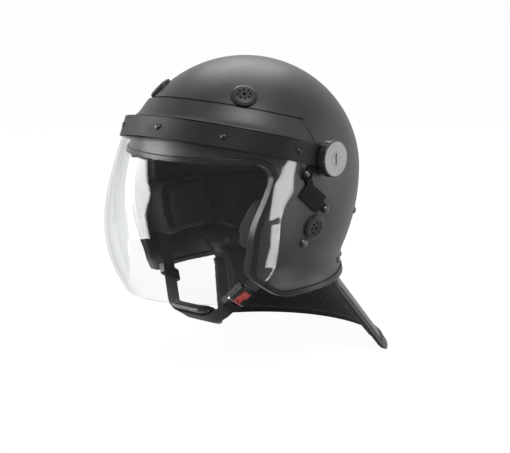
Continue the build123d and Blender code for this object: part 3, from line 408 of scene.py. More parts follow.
@dataclass(frozen=True)
class Cloth:
    """Woven or knitted cloth with threads in its relief and fuzz in its colour."""

    name: str
    colour: Colour
    thread: Colour
    weave: Weave
    pitch: float = 0.9 * MM
    depth: float = 0.12 * MM
    roughness: float = 0.85
    sheen: float = 0.25
    gloss: float = 0.25
    fuzz_size: float = 0.6 * MM
    fold_size: float = 22 * MM
    fold_span: Span = (0.3, 0.8)

    def threads(self, recipe: Recipe) -> Signal:
        """Height of the threads, from 0 to 1.

        Args:
            recipe: the material being made.

        Returns:
            The height.
        """
        woven = self.weave is Weave.WEBBING
        source = recipe.place()
        if woven:
            source = recipe.node("ShaderNodeUVMap", {"uv_map": "strap"})
        across, along, third = recipe.split(source)
        turn = pi / self.pitch
        if woven:
            ribs = (across * turn).sine().size()
            picks = (along * turn + across * turn * 0.5).sine().size()
            return ribs * 0.65 + picks * 0.35
        if self.weave is Weave.TAPE:
            slanted = (across * turn + along * turn).sine().size()
            return slanted * 0.5 + (third * turn).sine().size() * 0.5
        loops = (across * turn).sine() * (along * turn).sine()
        loops = loops + (third * turn).sine() * (along * turn).sine()
        return loops * 0.25 + 0.5

    def make(self) -> bpy.types.Material:
        """Build the material.

        Returns:
            The material.
        """
        recipe = Recipe(self.name)
        threads = self.threads(recipe)
        fuzz = recipe.noise(self.fuzz_size, 3.0, 0.7)
        folds = recipe.noise(self.fold_size, 4.0).spread(*self.fold_span)
        shade = threads * 0.6 + fuzz * 0.25 + folds * 0.2
        return recipe.done(recipe.surface(
            Base_Color=recipe.blend(shade, self.colour, self.thread),
            Roughness=self.roughness - threads * 0.08,
            Normal=recipe.bump(threads * 0.75 + fuzz * 0.25, self.depth),
            Sheen_Weight=self.sheen, Specular_IOR_Level=self.gloss))


@dataclass(frozen=True)
class Beads:
    """Rigid foam of pressed beads."""

    name: str = "bead_foam"
    colour: Colour = (0.05, 0.05, 0.052)
    gaps: Colour = (0.02, 0.02, 0.02)
    roughness: float = 0.8
    bead_size: float = 3.2 * MM
    bead_depth: float = 0.2 * MM
    bead_span: Span = (0.25, 0.6)

    def make(self) -> bpy.types.Material:
        """Build the material.

        Returns:
            The material.
        """
        recipe = Recipe(self.name)
        beads = recipe.cells(self.bead_size)
        tone = recipe.noise(self.bead_size, 1.0)
        shade = beads.spread(*self.bead_span) * 0.7 + tone * 0.3
        return recipe.done(recipe.surface(
            Base_Color=recipe.blend(shade, self.colour, self.gaps),
            Roughness=self.roughness - beads * 0.1,
            Normal=recipe.bump(1.0 - beads, self.bead_depth)))


@dataclass(frozen=True)
class Metal:
    """Turned or plated metal with fine scratches and duller spots."""

    name: str
    colour: Colour
    dull: Colour
    roughness: float = 0.28
    stretch: Point = (1.0, 9.0, 1.0)
    scratches: float = 900.0
    scratch_depth: float = 0.01 * MM
    spot_size: float = 1.6 * MM
    spot_span: Span = (0.5, 0.75)

    def make(self) -> bpy.types.Material:
        """Build the material.

        Returns:
            The material.
        """
        recipe = Recipe(self.name)
        stretched = recipe.node("ShaderNodeVectorMath", {"operation": "MULTIPLY"},
                                {0: recipe.place(), 1: self.stretch})
        lines = recipe.node("ShaderNodeTexNoise", {},
                            {"Vector": stretched, "Scale": self.scratches, "Detail": 3.0})
        spots = recipe.noise(self.spot_size, 4.0).spread(*self.spot_span)
        return recipe.done(recipe.surface(
            Base_Color=recipe.blend(spots * 0.5, self.colour, self.dull),
            Metallic=1.0 - spots * 0.15,
            Roughness=self.roughness + spots * 0.18 + lines * 0.08,
            Normal=recipe.bump(lines, self.scratch_depth)))


@dataclass(frozen=True)
class ClearSheet:
    """Clear polycarbonate: nearly nothing seen square on, bright and grey at a slant."""

    name: str = "clear_polycarbonate"
    square_on: float = 0.035
    steepness: float = 5
    greyed: float = 0.7
    clear: Colour = (0.985, 0.99, 0.99)
    slanted: Colour = (0.62, 0.64, 0.65)
    mirror: Colour = (1.0, 1.0, 1.0)
    smear_size: float = 30 * MM
    smear_span: Span = (0.5, 0.85)
    roughness: float = 0.02

    def make(self) -> bpy.types.Material:
        """Build the material.

        Returns:
            The material.
        """
        recipe = Recipe(self.name)
        facing = recipe.node("ShaderNodeLayerWeight", {}, {"Blend": 0.5}, "Facing")
        smears = recipe.noise(self.smear_size, 4.0).spread(*self.smear_span)
        thin = recipe.node("ShaderNodeBsdfTransparent", {}, {"Color": self.clear})
        thick = recipe.node("ShaderNodeBsdfTransparent", {}, {"Color": self.slanted})
        slant = facing ** self.steepness
        through = recipe.mix(slant * self.greyed, thin, thick)
        gloss = recipe.surface(Base_Color=self.mirror, Metallic=1.0,
                               Roughness=self.roughness + smears * 0.02)
        mirrored = slant * (1 - self.square_on) + self.square_on
        return recipe.done(recipe.mix(mirrored, through, gloss))


def grey(level: float) -> Colour:
    """Neutral colour of one level."""
    return (level, level, level)


PAINT = MattPaint().make()
VISOR = ClearSheet().make()
BAND = Pebbled("pebbled_band", grey(0.01), 0.55, valley=grey(0.003), gloss=0.35).make()
RUBBER = Moulded("edge_rubber", grey(0.005), 0.36, grain_size=1.1 * MM, worn=grey(0.018),
                 gloss=0.45).make()
PLASTIC = Moulded("satin_plastic", (0.01, 0.01, 0.0105), 0.36).make()
VENT = Moulded("vent_plastic", grey(0.018), 0.4, worn=grey(0.04)).make()
KNOB = KnobPlasticPaintedSheen().make()
STRAP_RUBBER = Moulded("strap_rubber", grey(0.003), 0.6, worn=grey(0.01), gloss=0.2).make()
RED = Moulded("red_lever", (0.55, 0.03, 0.025), 0.35, worn=(0.7, 0.16, 0.13)).make()
FOAM = Beads().make()
LINING = Cloth("lining_knit", (0.008, 0.008, 0.0085), (0.026, 0.026, 0.027),
               Weave.KNIT).make()
WEBBING = Cloth("strap_webbing", grey(0.006), grey(0.028), Weave.WEBBING,
                pitch=1.1 * MM).make()
TAPE = Cloth("binding_tape", grey(0.008), grey(0.035), Weave.TAPE, pitch=0.8 * MM).make()
THREAD = Cloth("stitch_thread", grey(0.05), grey(0.14), Weave.TAPE, pitch=0.4 * MM).make()
LEATHERCLOTH = Pebbled("guard_leathercloth", (0.06, 0.06, 0.061), 0.38, valley=grey(0.015),
                       pebble_size=1.1 * MM, pebble_depth=0.06 * MM).make()
CUP_LEATHER = Pebbled("cup_leather", (0.012, 0.011, 0.01), 0.42, pebble_size=0.9 * MM,
                      pebble_depth=0.05 * MM).make()
STEEL = Metal("plated_steel", (0.5, 0.49, 0.48), (0.24, 0.23, 0.22), roughness=0.32).make()
BLACKED = Metal("blacked_steel", grey(0.07), (0.035, 0.034, 0.033), roughness=0.38).make()
RING_METAL = Metal("ring_metal", (0.16, 0.16, 0.165), grey(0.07), roughness=0.4).make()
SCREW_STEEL = Metal("worn_screw", grey(0.3), grey(0.18), roughness=0.42).make()
EYELET = Metal("blacked_eyelet", grey(0.02), grey(0.012), roughness=0.35).make()


def dress(finishes: dict[str, bpy.types.Material]) -> None:
    """Give carried-over nodes their materials.

    Args:
        finishes: each node's name and the finish that it gets.
    """
    for name, material in finishes.items():
        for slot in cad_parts[name].material_slots:
            slot.material = material
        log.info("dressed %s", name)


def placed(name: str, data: Any) -> bpy.types.Object:
    """Put a mesh, curve, lamp or camera into the scene as an object.

    Args:
        name: the object's name.
        data: what it shows.

    Returns:
        The new object.
    """
    made = bpy.data.objects.new(name, data)
    bpy.context.scene.collection.objects.link(made)
    return made


def settled(holder: bpy.types.Object) -> bpy.types.Mesh:
    """Take an object's final mesh and remove the object.

    Args:
        holder: an object that is only there to make the mesh.

    Returns:
        The mesh.
    """
    depsgraph = bpy.context.evaluated_depsgraph_get()
    mesh = bpy.data.meshes.new_from_object(holder.evaluated_get(depsgraph))
    bpy.data.objects.remove(holder)
    return mesh


def new_piece(name: str, mesh: bpy.types.Mesh, material: bpy.types.Material, body: str,
              stands_for: Sequence[str] = ()) -> bpy.types.Object:
    """Make one piece of the looks.

    Args:
        name: the piece's name.
        mesh: its mesh, in the helmet's frame.
        material: its finish.
        body: the body it moves with.
        stands_for: nodes that it replaces.

    Returns:
        The new object.
    """
    piece = placed(name, mesh)
    mesh.materials.clear()
    mesh.materials.append(material)
    mesh.polygons.foreach_set("use_smooth", [True] * len(mesh.polygons))
    mesh.update()
    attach(piece, body)
    if stands_for:
        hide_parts(*stands_for)
    log.info("built %s with %d faces", name, len(mesh.polygons))
    return piece


def softened(node: str, voxel: float, rounds: int) -> bpy.types.Mesh:
    """Copy of a node with rounded, cushion-like edges.

    Args:
        node: the node copied; its split corners are joined first.
        voxel: width of its faces, in metres.
        rounds: how many times its corners are eased.

    Returns:
        The new mesh.
    """
    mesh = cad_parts[node].data.copy()
    work = bmesh.new()
    work.from_mesh(mesh)
    bmesh.ops.remove_doubles(work, verts=work.verts, dist=0.005 * MM)
    work.to_mesh(mesh)
    work.free()
    holder = placed("holder", mesh)
    remesh = holder.modifiers.new("remesh", "REMESH")
    remesh.mode = "VOXEL"
    remesh.voxel_size = voxel
    smooth = holder.modifiers.new("smooth", "SMOOTH")
    smooth.factor = 0.5
    smooth.iterations = rounds
    return settled(holder)


def inflated(mesh: bpy.types.Mesh, cap: float, pressure: float = 4.0, frames: int = 20,
             quality: int = 4) -> bpy.types.Mesh:
    """Swell a padded cover by a short cloth simulation.

    Args:
        mesh: the cover, a closed mesh.
        cap: the most that a point may move, in metres.
        pressure: pressure inside the cover.
        frames: length of the simulation.
        quality: steps of the simulation in one frame.

    Returns:
        The swollen mesh.
    """
    start = [vertex.co.copy() for vertex in mesh.vertices]
    holder = placed("cover", mesh)
    cloth = holder.modifiers.new("cloth", "CLOTH").settings
    cloth.use_pressure = True
    cloth.uniform_pressure_force = pressure
    cloth.effector_weights.gravity = 0.0
    cloth.quality = quality
    scene = bpy.context.scene
    for number in range(1, frames + 1):
        scene.frame_set(number)
    swollen = settled(holder)
    scene.frame_set(1)
    for vertex, origin in zip(swollen.vertices, start):
        move = vertex.co - origin
        if move.length > cap:
            vertex.co = origin + move * (cap / move.length)
    return swollen


def tubes(lines: Sequence[Sequence[Vector]], radius: float,
          closed: bool = False) -> bpy.types.Mesh:
    """Round tubes along lines of points, as one mesh.

    Args:
        lines: the middle line of each tube.
        radius: the tubes' radius.
        closed: whether each line's end joins its start.

    Returns:
        The tubes' mesh.
    """
    curve = bpy.data.curves.new("tubes", "CURVE")
    curve.dimensions = "3D"
    curve.bevel_depth = radius
    curve.bevel_resolution = 2 if closed else 1
    curve.use_fill_caps = not closed
    for line in lines:
        spline = curve.splines.new("POLY")
        spline.points.add(len(line) - 1)
        for place, point in zip(spline.points, line):
            place.co = (*point, 1.0)
        spline.use_cyclic_u = closed
    return settled(placed("tubes", curve))


def rounded(corners: Sequence[Vector], bends: Sequence[float], step: float) -> list[Vector]:
    """Flat line through corners, each rounded by its own radius.

    Args:
        corners: the line's corners, in two dimensions.
        bends: the radius at each corner; the two ends have none.
        step: distance between two points, in metres.

    Returns:
        Points about one step apart.
    """
    line = [corners[0]]
    for index in range(1, len(corners) - 1):
        before = (corners[index - 1] - corners[index]).normalized()
        after = (corners[index + 1] - corners[index]).normalized()
        half = before.angle(after) / 2
        cut = bends[index] / tan(half)
        centre = corners[index] + (before + after).normalized() * (bends[index] / sin(half))
        first = corners[index] + before * cut - centre
        sweep = (corners[index] + after * cut - centre).angle_signed(first)
        count = max(3, int(abs(sweep) * bends[index] / step))
        for number in range(count + 1):
            turned = first.copy()
            turned.rotate(Matrix.Rotation(sweep * number / count, 2))
            line.append(centre + turned)
    line.append(corners[-1])
    spaced = [line[0]]
    for first, second in zip(line, line[1:]):
        count = max(1, int((second - first).length / step))
        spaced.extend(first.lerp(second, number / count) for number in range(1, count + 1))
    return spaced


def distances(line: Sequence[Vector]) -> list[float]:
    """Distance of each point of a line from its start, along the line."""
    return list(accumulate(((second - first).length for first, second in zip(line, line[1:])),
                           initial=0.0))


def along(line: Sequence[Vector], reach: Sequence[float], distance: float) -> Vector:
    """Point of a line at a distance from its start.

    Args:
        line: the line's points.
        reach: the distance of each of them.
        distance: the distance of the point wanted.

    Returns:
        The point.
    """
    index = min(bisect(reach, distance), len(line) - 1)
    run = max(reach[index] - reach[index - 1], 1e-9)
    return line[index - 1].lerp(line[index], (distance - reach[index - 1]) / run)


def stitched(rows: Sequence[Sequence[Vector]], length: float = 3.2 * MM,
             gap: float = 1.2 * MM, radius: float = 0.3 * MM) -> bpy.types.Mesh:
    """Rows of stitches, each a short thread.

    Args:
        rows: the lines that the stitches follow.
        length: length of one stitch.
        gap: space between two stitches.
        radius: radius of the thread.

    Returns:
        One mesh with every stitch.
    """
    threads = []
    for row in rows:
        reach = distances(row)
        place = gap / 2
        while place + length < reach[-1]:
            threads.append([along(row, reach, place + length * share)
                            for share in (0.0, 0.2, 0.8, 1.0)])
            place += length + gap
    return tubes(threads, radius)


def lofted(name: str, rings: Sequence[Sequence[Vector]],
           places: Sequence[Sequence[Span]] = ()) -> bpy.types.Mesh:
    """Closed mesh through rings of points, with both its ends shut.

    Args:
        name: the mesh's name.
        rings: the rings, all with the same count of points.
        places: where each point lies on a map of the name "strap", if it has one.

    Returns:
        The new mesh.
    """
    work = bmesh.new()
    layer = work.loops.layers.uv.new("strap") if places else None
    rows = [[work.verts.new(point) for point in ring] for ring in rings]
    count = len(rows[0])
    for row in range(len(rows) - 1):
        for index in range(count):
            after = (index + 1) % count
            spots = ((row, index), (row, after), (row + 1, after), (row + 1, index))
            face = work.faces.new([rows[level][spot] for level, spot in spots])
            if layer is not None:
                for loop, (level, spot) in zip(face.loops, spots):
                    loop[layer].uv = places[level][spot]
    work.faces.new(rows[0])
    work.faces.new(list(reversed(rows[-1])))
    bmesh.ops.recalc_face_normals(work, faces=work.faces)
    mesh = bpy.data.meshes.new(name)
    work.to_mesh(mesh)
    work.free()
    return mesh


class Skin:
    """The surface of one or more meshes, which other pieces are laid on."""

    def __init__(self, meshes: Sequence[bpy.types.Mesh]) -> None:
        """Build the search tree.

        Args:
            meshes: the meshes, in the helmet's frame.
        """
        work = bmesh.new()
        for mesh in meshes:
            work.from_mesh(mesh)
        self.tree = BVHTree.FromBMesh(work)
        work.free()

    def shot(self, start: Vector, way: Vector, lift: float = 0.0) -> Vector | None:
        """Where a ray first meets the surface, lifted along its normal.

        Args:
            start: where the ray starts.
            way: the way it runs.
            lift: distance off the surface, in metres.

        Returns:
            The point, or None where the ray misses.
        """
        hit, normal, _, _ = self.tree.ray_cast(start, way)
        if hit is None:
            return None
        if normal.dot(way) > 0:
            normal = -normal
        return hit + normal * lift

    def sideways(self, spots: Sequence[Vector], start: float, sign: float,
                 lift: float) -> list[Vector]:
        """Lay a line drawn in the side view on the surface.

        Args:
            spots: its points, each a place along Y and Z.
            start: where the rays start along X.
            sign: the way they run along X, 1 or -1.
            lift: distance off the surface, in metres.

        Returns:
            The points that meet the surface.
        """
        hits = [self.shot(Vector((start, spot.x, spot.y)), LEFT * sign, lift)
                for spot in spots]
        return [hit for hit in hits if hit is not None]


@dataclass(frozen=True)
class Lamp:
    """One softbox: where it stands and its width and height in metres, and its watts."""

    name: str
    place: Point
    size: Span
    power: float


@dataclass(frozen=True)
class Card:
    """One bright card: its ring of corners in degrees, its strength and its distance."""

    name: str
    corners: tuple[Span, ...]
    strength: float
    reach: float = 1.6


@dataclass
class Studio:
    """Camera, lights, floor and backdrop; angles are in degrees."""

    target: Vector = Vector((0.0, -0.006, -0.0644)).freeze()
    azimuth: float = 42.0
    elevation: float = 8.0
    distance: float = 1.7
    lens: float = 104.6
    shift: Span = (0.029, -0.156)
    floor_gap: float = 2 * MM
    floor_radius: float = 30.0
    floor_glow: float = 0.92
    floor_white: float = 1.05
    floor_tones: tuple[Colour, Colour] = ((0.9, 0.9, 0.9), (0.88, 0.88, 0.88))
    ambient: float = 0.25
    behind_elevation: float = -22.0
    behind_span: Span = (-0.2, 0.75)
    lamps: tuple[Lamp, ...] = (
        Lamp("crown", (-0.75, 0.95, 1.45), (1.3, 1.1), 18.0),
        Lamp("front", (0.95, -0.55, 1.35), (0.9, 0.8), 20.0),
        Lamp("rear", (1.45, 1.35, 0.25), (1.3, 1.1), 4.0))
    cards: tuple[Card, ...] = (
        Card("side_card", ((93.5, -9.0), (108.0, -9.0), (108.0, 1.5), (93.5, 1.0)), 7.0),
        Card("knob_card", ((128.0, -14.0), (146.0, -14.0), (146.0, 4.0), (128.0, 4.0)), 3.0,
             1.0),
        Card("low_card", ((96.2, -11.5), (100.0, -11.5), (106.0, -37.0), (98.0, -37.0)), 7.0),
        Card("far_card", ((-76.0, 17.0), (-71.0, 14.0), (-62.0, 11.0), (-47.0, 0.0),
                          (-40.0, -14.0), (-14.0, -12.0), (-23.0, 6.0), (-26.0, 21.0),
                          (-40.0, 26.0), (-52.0, 28.0)), 11.0))

    def way(self, azimuth: float, elevation: float) -> Vector:
        """Direction from the helmet, with both angles in degrees."""
        turn, rise = radians(azimuth), radians(elevation)
        return Vector((sin(turn) * cos(rise), -cos(turn) * cos(rise), sin(rise)))

    def aimed(self, made: bpy.types.Object, place: Vector, away: Vector) -> None:
        """Stand a camera or lamp at a place, with its back to the way given."""
        made.location = place
        made.rotation_euler = (-away).to_track_quat("-Z", "Y").to_euler()

    def camera(self) -> None:
        """Set the camera at the photograph's view."""
        data = bpy.data.cameras.new("camera")
        data.sensor_width = 36.0
        data.lens = self.lens
        data.shift_x, data.shift_y = self.shift
        data.clip_end = 100.0
        camera = placed("camera", data)
        away = self.way(self.azimuth, self.elevation)
        self.aimed(camera, self.target + away * self.distance, away)
        bpy.context.scene.camera = camera

    def lamp(self, plan: Lamp) -> None:
        """Add one softbox that points at the helmet.

        Args:
            plan: the softbox.
        """
        data = bpy.data.lights.new(plan.name, "AREA")
        data.shape = "RECTANGLE"
        data.size, data.size_y = plan.size
        data.energy = plan.power
        place = Vector(plan.place)
        self.aimed(placed(plan.name, data), place, place - self.target)

    def world(self) -> None:
        """Soft grey light; white where the camera looks, and behind where gloss mirrors it."""
        sky = Sky("studio")
        behind = self.way(self.azimuth + 180.0, self.behind_elevation)
        place = sky.node("ShaderNodeTexCoord", output="Generated")
        facing = sky.node("ShaderNodeVectorMath", {"operation": "DOT_PRODUCT"},
                          {0: place, 1: tuple(behind)}, "Value")
        gloss = sky.node("ShaderNodeLightPath", output="Is Glossy Ray")
        gloss = gloss * facing.spread(*self.behind_span)
        camera = sky.node("ShaderNodeLightPath", output="Is Camera Ray")
        through = sky.node("ShaderNodeLightPath", output="Is Transmission Ray")
        dim = sky.node("ShaderNodeBackground", {}, {"Strength": self.ambient})
        bright = sky.node("ShaderNodeBackground", {}, {"Strength": 1.0})
        sky.done(sky.mix(camera.larger(through).larger(gloss), dim, bright))

    def card(self, plan: Card) -> None:
        """Add a bright card that only glossy surfaces mirror.

        Args:
            plan: the card; its ring has an even number of corners.
        """
        recipe = Recipe(plan.name)
        glow = recipe.node("ShaderNodeEmission", {}, {"Strength": plan.strength})
        mesh = bpy.data.meshes.new(plan.name)
        points = [self.target + self.way(*corner) * plan.reach for corner in plan.corners]
        last = len(points) - 1
        faces = [(index, index + 1, last - index - 1, last - index)
                 for index in range(len(points) // 2 - 1)]
        mesh.from_pydata(points, [], faces)
        mesh.materials.append(recipe.done(glow))
        card = placed(plan.name, mesh)
        card.visible_camera = card.visible_diffuse = False
        card.visible_shadow = card.visible_transmission = False

    def floor(self) -> None:
        """Lay a pale floor just below the helmet."""
        recipe = Recipe("pale_floor")
        tone = recipe.noise(0.4)
        matt = recipe.surface(Base_Color=recipe.blend(tone, *self.floor_tones), Roughness=0.9)
        glow = recipe.node("ShaderNodeEmission", {}, {"Color": (1.0, 1.0, 1.0),
                                                      "Strength": self.floor_white})
        seen = recipe.node("ShaderNodeLightPath", output="Is Camera Ray")
        material = recipe.done(recipe.mix(seen * self.floor_glow, matt, glow))
        work = bmesh.new()
        bmesh.ops.create_circle(work, cap_ends=True, segments=64, radius=self.floor_radius)
        mesh = bpy.data.meshes.new("floor")
        work.to_mesh(mesh)
        work.free()
        mesh.materials.append(material)
        floor = placed("floor", mesh)
        floor.location.z = cad_box[0][2] - self.floor_gap
        floor.visible_glossy = False

    def build(self) -> None:
        """Make the whole studio."""
        self.camera()
        self.world()
        self.floor()
        for lamp in self.lamps:
            self.lamp(lamp)
        for card in self.cards:
            self.card(card)
        bpy.context.scene.view_settings.view_transform = "Standard"


@dataclass
class Shell:
    """Outer shell, its edge trim, vents and rivets."""

    vents: tuple[str, ...] = ("crown_vent_left", "crown_vent_right", "ear_vent_left",
                              "ear_vent_right")
    trim: Easing = (0.8 * MM, 4)
    # side-view corners, bend, step and tube radius of the painted shadow line down the
    # fairing's rear end
    fairing_rear: tuple[Span, ...] = (
        (-28.7 * MM, -23.2 * MM), (-21.4 * MM, -24.5 * MM), (-14.6 * MM, -48.5 * MM))
    rear_bend: float = 4.0 * MM
    rear_step: float = 1.5 * MM
    shadow_line_radius: float = 0.9 * MM
    pivot: Vector = Vector((0.0, -6.0 * MM, -64.4 * MM)).freeze()
    brow_tilt: float = radians(15.0)
    shelf_section: tuple[Span, ...] = (
        (27.0 * MM, -0.05 * MM), (25.0 * MM, 0.03 * MM), (22.0 * MM, 0.25 * MM),
        (19.0 * MM, 0.7 * MM), (16.5 * MM, 1.2 * MM), (14.5 * MM, 1.5 * MM),
        (13.4 * MM, 1.55 * MM), (12.9 * MM, 1.3 * MM))
    shelf_root: float = -0.6 * MM
    shelf_sink: float = 0.1 * MM
    shelf_turn: float = radians(76.0)
    shelf_steps: int = 120
    shelf_fade: float = 6.0

    def fairing_shadow_lines(self, skin: Skin) -> None:
        """Run a dark tube down the rear end of the brow fairing, on both sides, as a painted
        shadow line along the moulded step.

        Args:
            skin: the shell's surface.
        """
        corners = [Vector(corner) for corner in self.fairing_rear]
        flat = rounded(corners, [0.0, self.rear_bend, 0.0], self.rear_step)
        for side, sign in SIDES:
            # painted shadow: a dark tube, half sunk, where the moulded step is shaded
            line = skin.sideways(flat, sign * FAR, -sign, -0.5 * self.shadow_line_radius)
            new_piece(f"fairing_shadow_line_{side}", tubes([line], self.shadow_line_radius), RUBBER,
                      "helmet")

    def fairing_shelf(self, skin: Skin) -> None:
        """Lay the fairing's convex shelf on its lower half, from one rear end to the other.

        Args:
            skin: the shell's surface.
        """
        ahead = Vector((0.0, -cos(self.brow_tilt), sin(self.brow_tilt)))
        above = Vector((0.0, sin(self.brow_tilt), cos(self.brow_tilt)))
        first, last = self.shelf_section[0][0], self.shelf_section[-1][0]
        section = ((first, self.shelf_root), *self.shelf_section, (last, self.shelf_root))
        rings = []
        for number in range(self.shelf_steps + 1):
            share = 2 * number / self.shelf_steps - 1
            turn = share * self.shelf_turn
            fade = min(1.0, (1 - abs(share)) * self.shelf_fade)
            out = LEFT * sin(turn) + ahead * cos(turn)
            ring = []
            for over, rise in section:
                hit = skin.shot(self.pivot + above * over + out * FAR, -out)
                lift = rise * fade if rise > 0 else rise - self.shelf_sink * (1 - fade)
                ring.append(hit + out * lift)
            rings.append(ring)
        new_piece("fairing_shelf", lofted("loft", rings), PAINT, "helmet")

    def build(self) -> None:
        """Dress the shell's nodes."""
        dress({"outer_shell": PAINT, "vent_rings": PLASTIC, "rear_rivets": RING_METAL,
               "anchor_rivets": RING_METAL, "anchor_spacers": STEEL})
        dress({vent: VENT for vent in self.vents})
        skin = Skin([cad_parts["outer_shell"].data])
        self.fairing_shadow_lines(skin)
        self.fairing_shelf(skin)
        new_piece("edge_trim_bead", softened("edge_trim", *self.trim), RUBBER, "helmet",
                  ["edge_trim"])


@dataclass
class VisorSet:
    """Visor, its band and seal, and their screws."""

    def build(self) -> None:
        """Dress the visor's nodes."""
        dress({"visor": VISOR, "visor_band": BAND, "visor_seal": RUBBER,
               "band_screws": BLACKED, "band_nuts": STEEL})


@dataclass
class Pivots:
    """Knobs, screws, washers, seats and nuts."""

    def build(self) -> None:
        """Dress the pivots' nodes."""
        for side, _ in SIDES:
            dress({f"knob_{side}": KNOB, f"pivot_base_{side}": PLASTIC,
                   f"pivot_screw_{side}": SCREW_STEEL, f"friction_washer_{side}": RUBBER,
                   f"pivot_nut_{side}": STEEL})


@dataclass
class MaskStrap:
    """Keepers for a gas mask's strap, with their rings and rivets."""

    keeper: Easing = (0.7 * MM, 3)

    def build(self) -> None:
        """Build the keepers and dress their metal."""
        for side, _ in SIDES:
            node = f"mask_strap_keeper_{side}"
            new_piece(f"{node}_strap", softened(node, *self.keeper), STRAP_RUBBER, "helmet",
                      [node])
        dress({"mask_strap_eyelets": EYELET, "mask_strap_rivets": RING_METAL})


@dataclass
class Lining:
    """Foam, comfort pads and their seams; each seam has its inset and its lift."""

    foam: Easing = (1.8 * MM, 2)
    cover: Easing = (1.6 * MM, 6)
    swell: float = 2.0 * MM
    cheek_swell: float = 0.5 * MM
    cheek_outline: tuple[Span, ...] = (
        (28.8 * MM, -112.2 * MM), (-64.0 * MM, -109.3 * MM), (-72.0 * MM, -139.8 * MM),
        (-65.4 * MM, -167.3 * MM), (25.9 * MM, -167.3 * MM), (28.8 * MM, -112.2 * MM))
    cheek_bend: float = 13.0 * MM
    seam_step: float = 2.5 * MM
    piping: Span = (5.0 * MM, 0.2 * MM)
    piping_radius: float = 1.0 * MM
    stitches: Span = (8.0 * MM, 0.0)

    def pad(self, node: str, cap: float) -> bpy.types.Mesh:
        """Replace one plain pad by a crowned, padded cover.

        Args:
            node: the pad's node.
            cap: the most that the filling moves a point.

        Returns:
            The cover's mesh.
        """
        mesh = inflated(softened(node, *self.cover), cap)
        piece = new_piece(f"{node}_cover", mesh, LINING, "helmet", [node])
        return piece.data

    def cheek_seam(self, side: str, sign: float, mesh: bpy.types.Mesh) -> None:
        """Run a piped seam and its stitches round a cheek pad's face.

        Args:
            side: left or right.
            sign: 1 on the wearer's left, -1 on the right.
            mesh: the pad's cover.
        """
        skin = Skin([mesh])
        corners = [Vector(corner) for corner in self.cheek_outline]
        bends = [0.0] + [self.cheek_bend] * (len(corners) - 2) + [0.0]
        flat = rounded(corners, bends, self.seam_step)[:-1]
        middle = sum(corners[1:], Vector((0.0, 0.0))) / (len(corners) - 1)
        rows = []
        for inset, lift in (self.piping, self.stitches):
            moved = [spot + (middle - spot).normalized() * inset for spot in flat]
            rows.append(skin.sideways(moved, 0.0, sign, lift))
        new_piece(f"cheek_piping_{side}", tubes([rows[0]], self.piping_radius, closed=True),
                  RUBBER, "helmet")
        new_piece(f"cheek_stitches_{side}", stitched([rows[1]]), THREAD, "helmet")

    def build(self) -> None:
        """Build every piece of the lining."""
        for node in ("impact_foam", "cheek_block_left", "cheek_block_right"):
            new_piece(f"{node}_moulding", softened(node, *self.foam), FOAM, "helmet",
                      [node])
        for node in ("comfort_ring", "crown_pad", "nape_pad"):
            self.pad(node, self.swell)
        for side, sign in SIDES:
            self.cheek_seam(side, sign, self.pad(f"cheek_pad_{side}", self.cheek_swell))


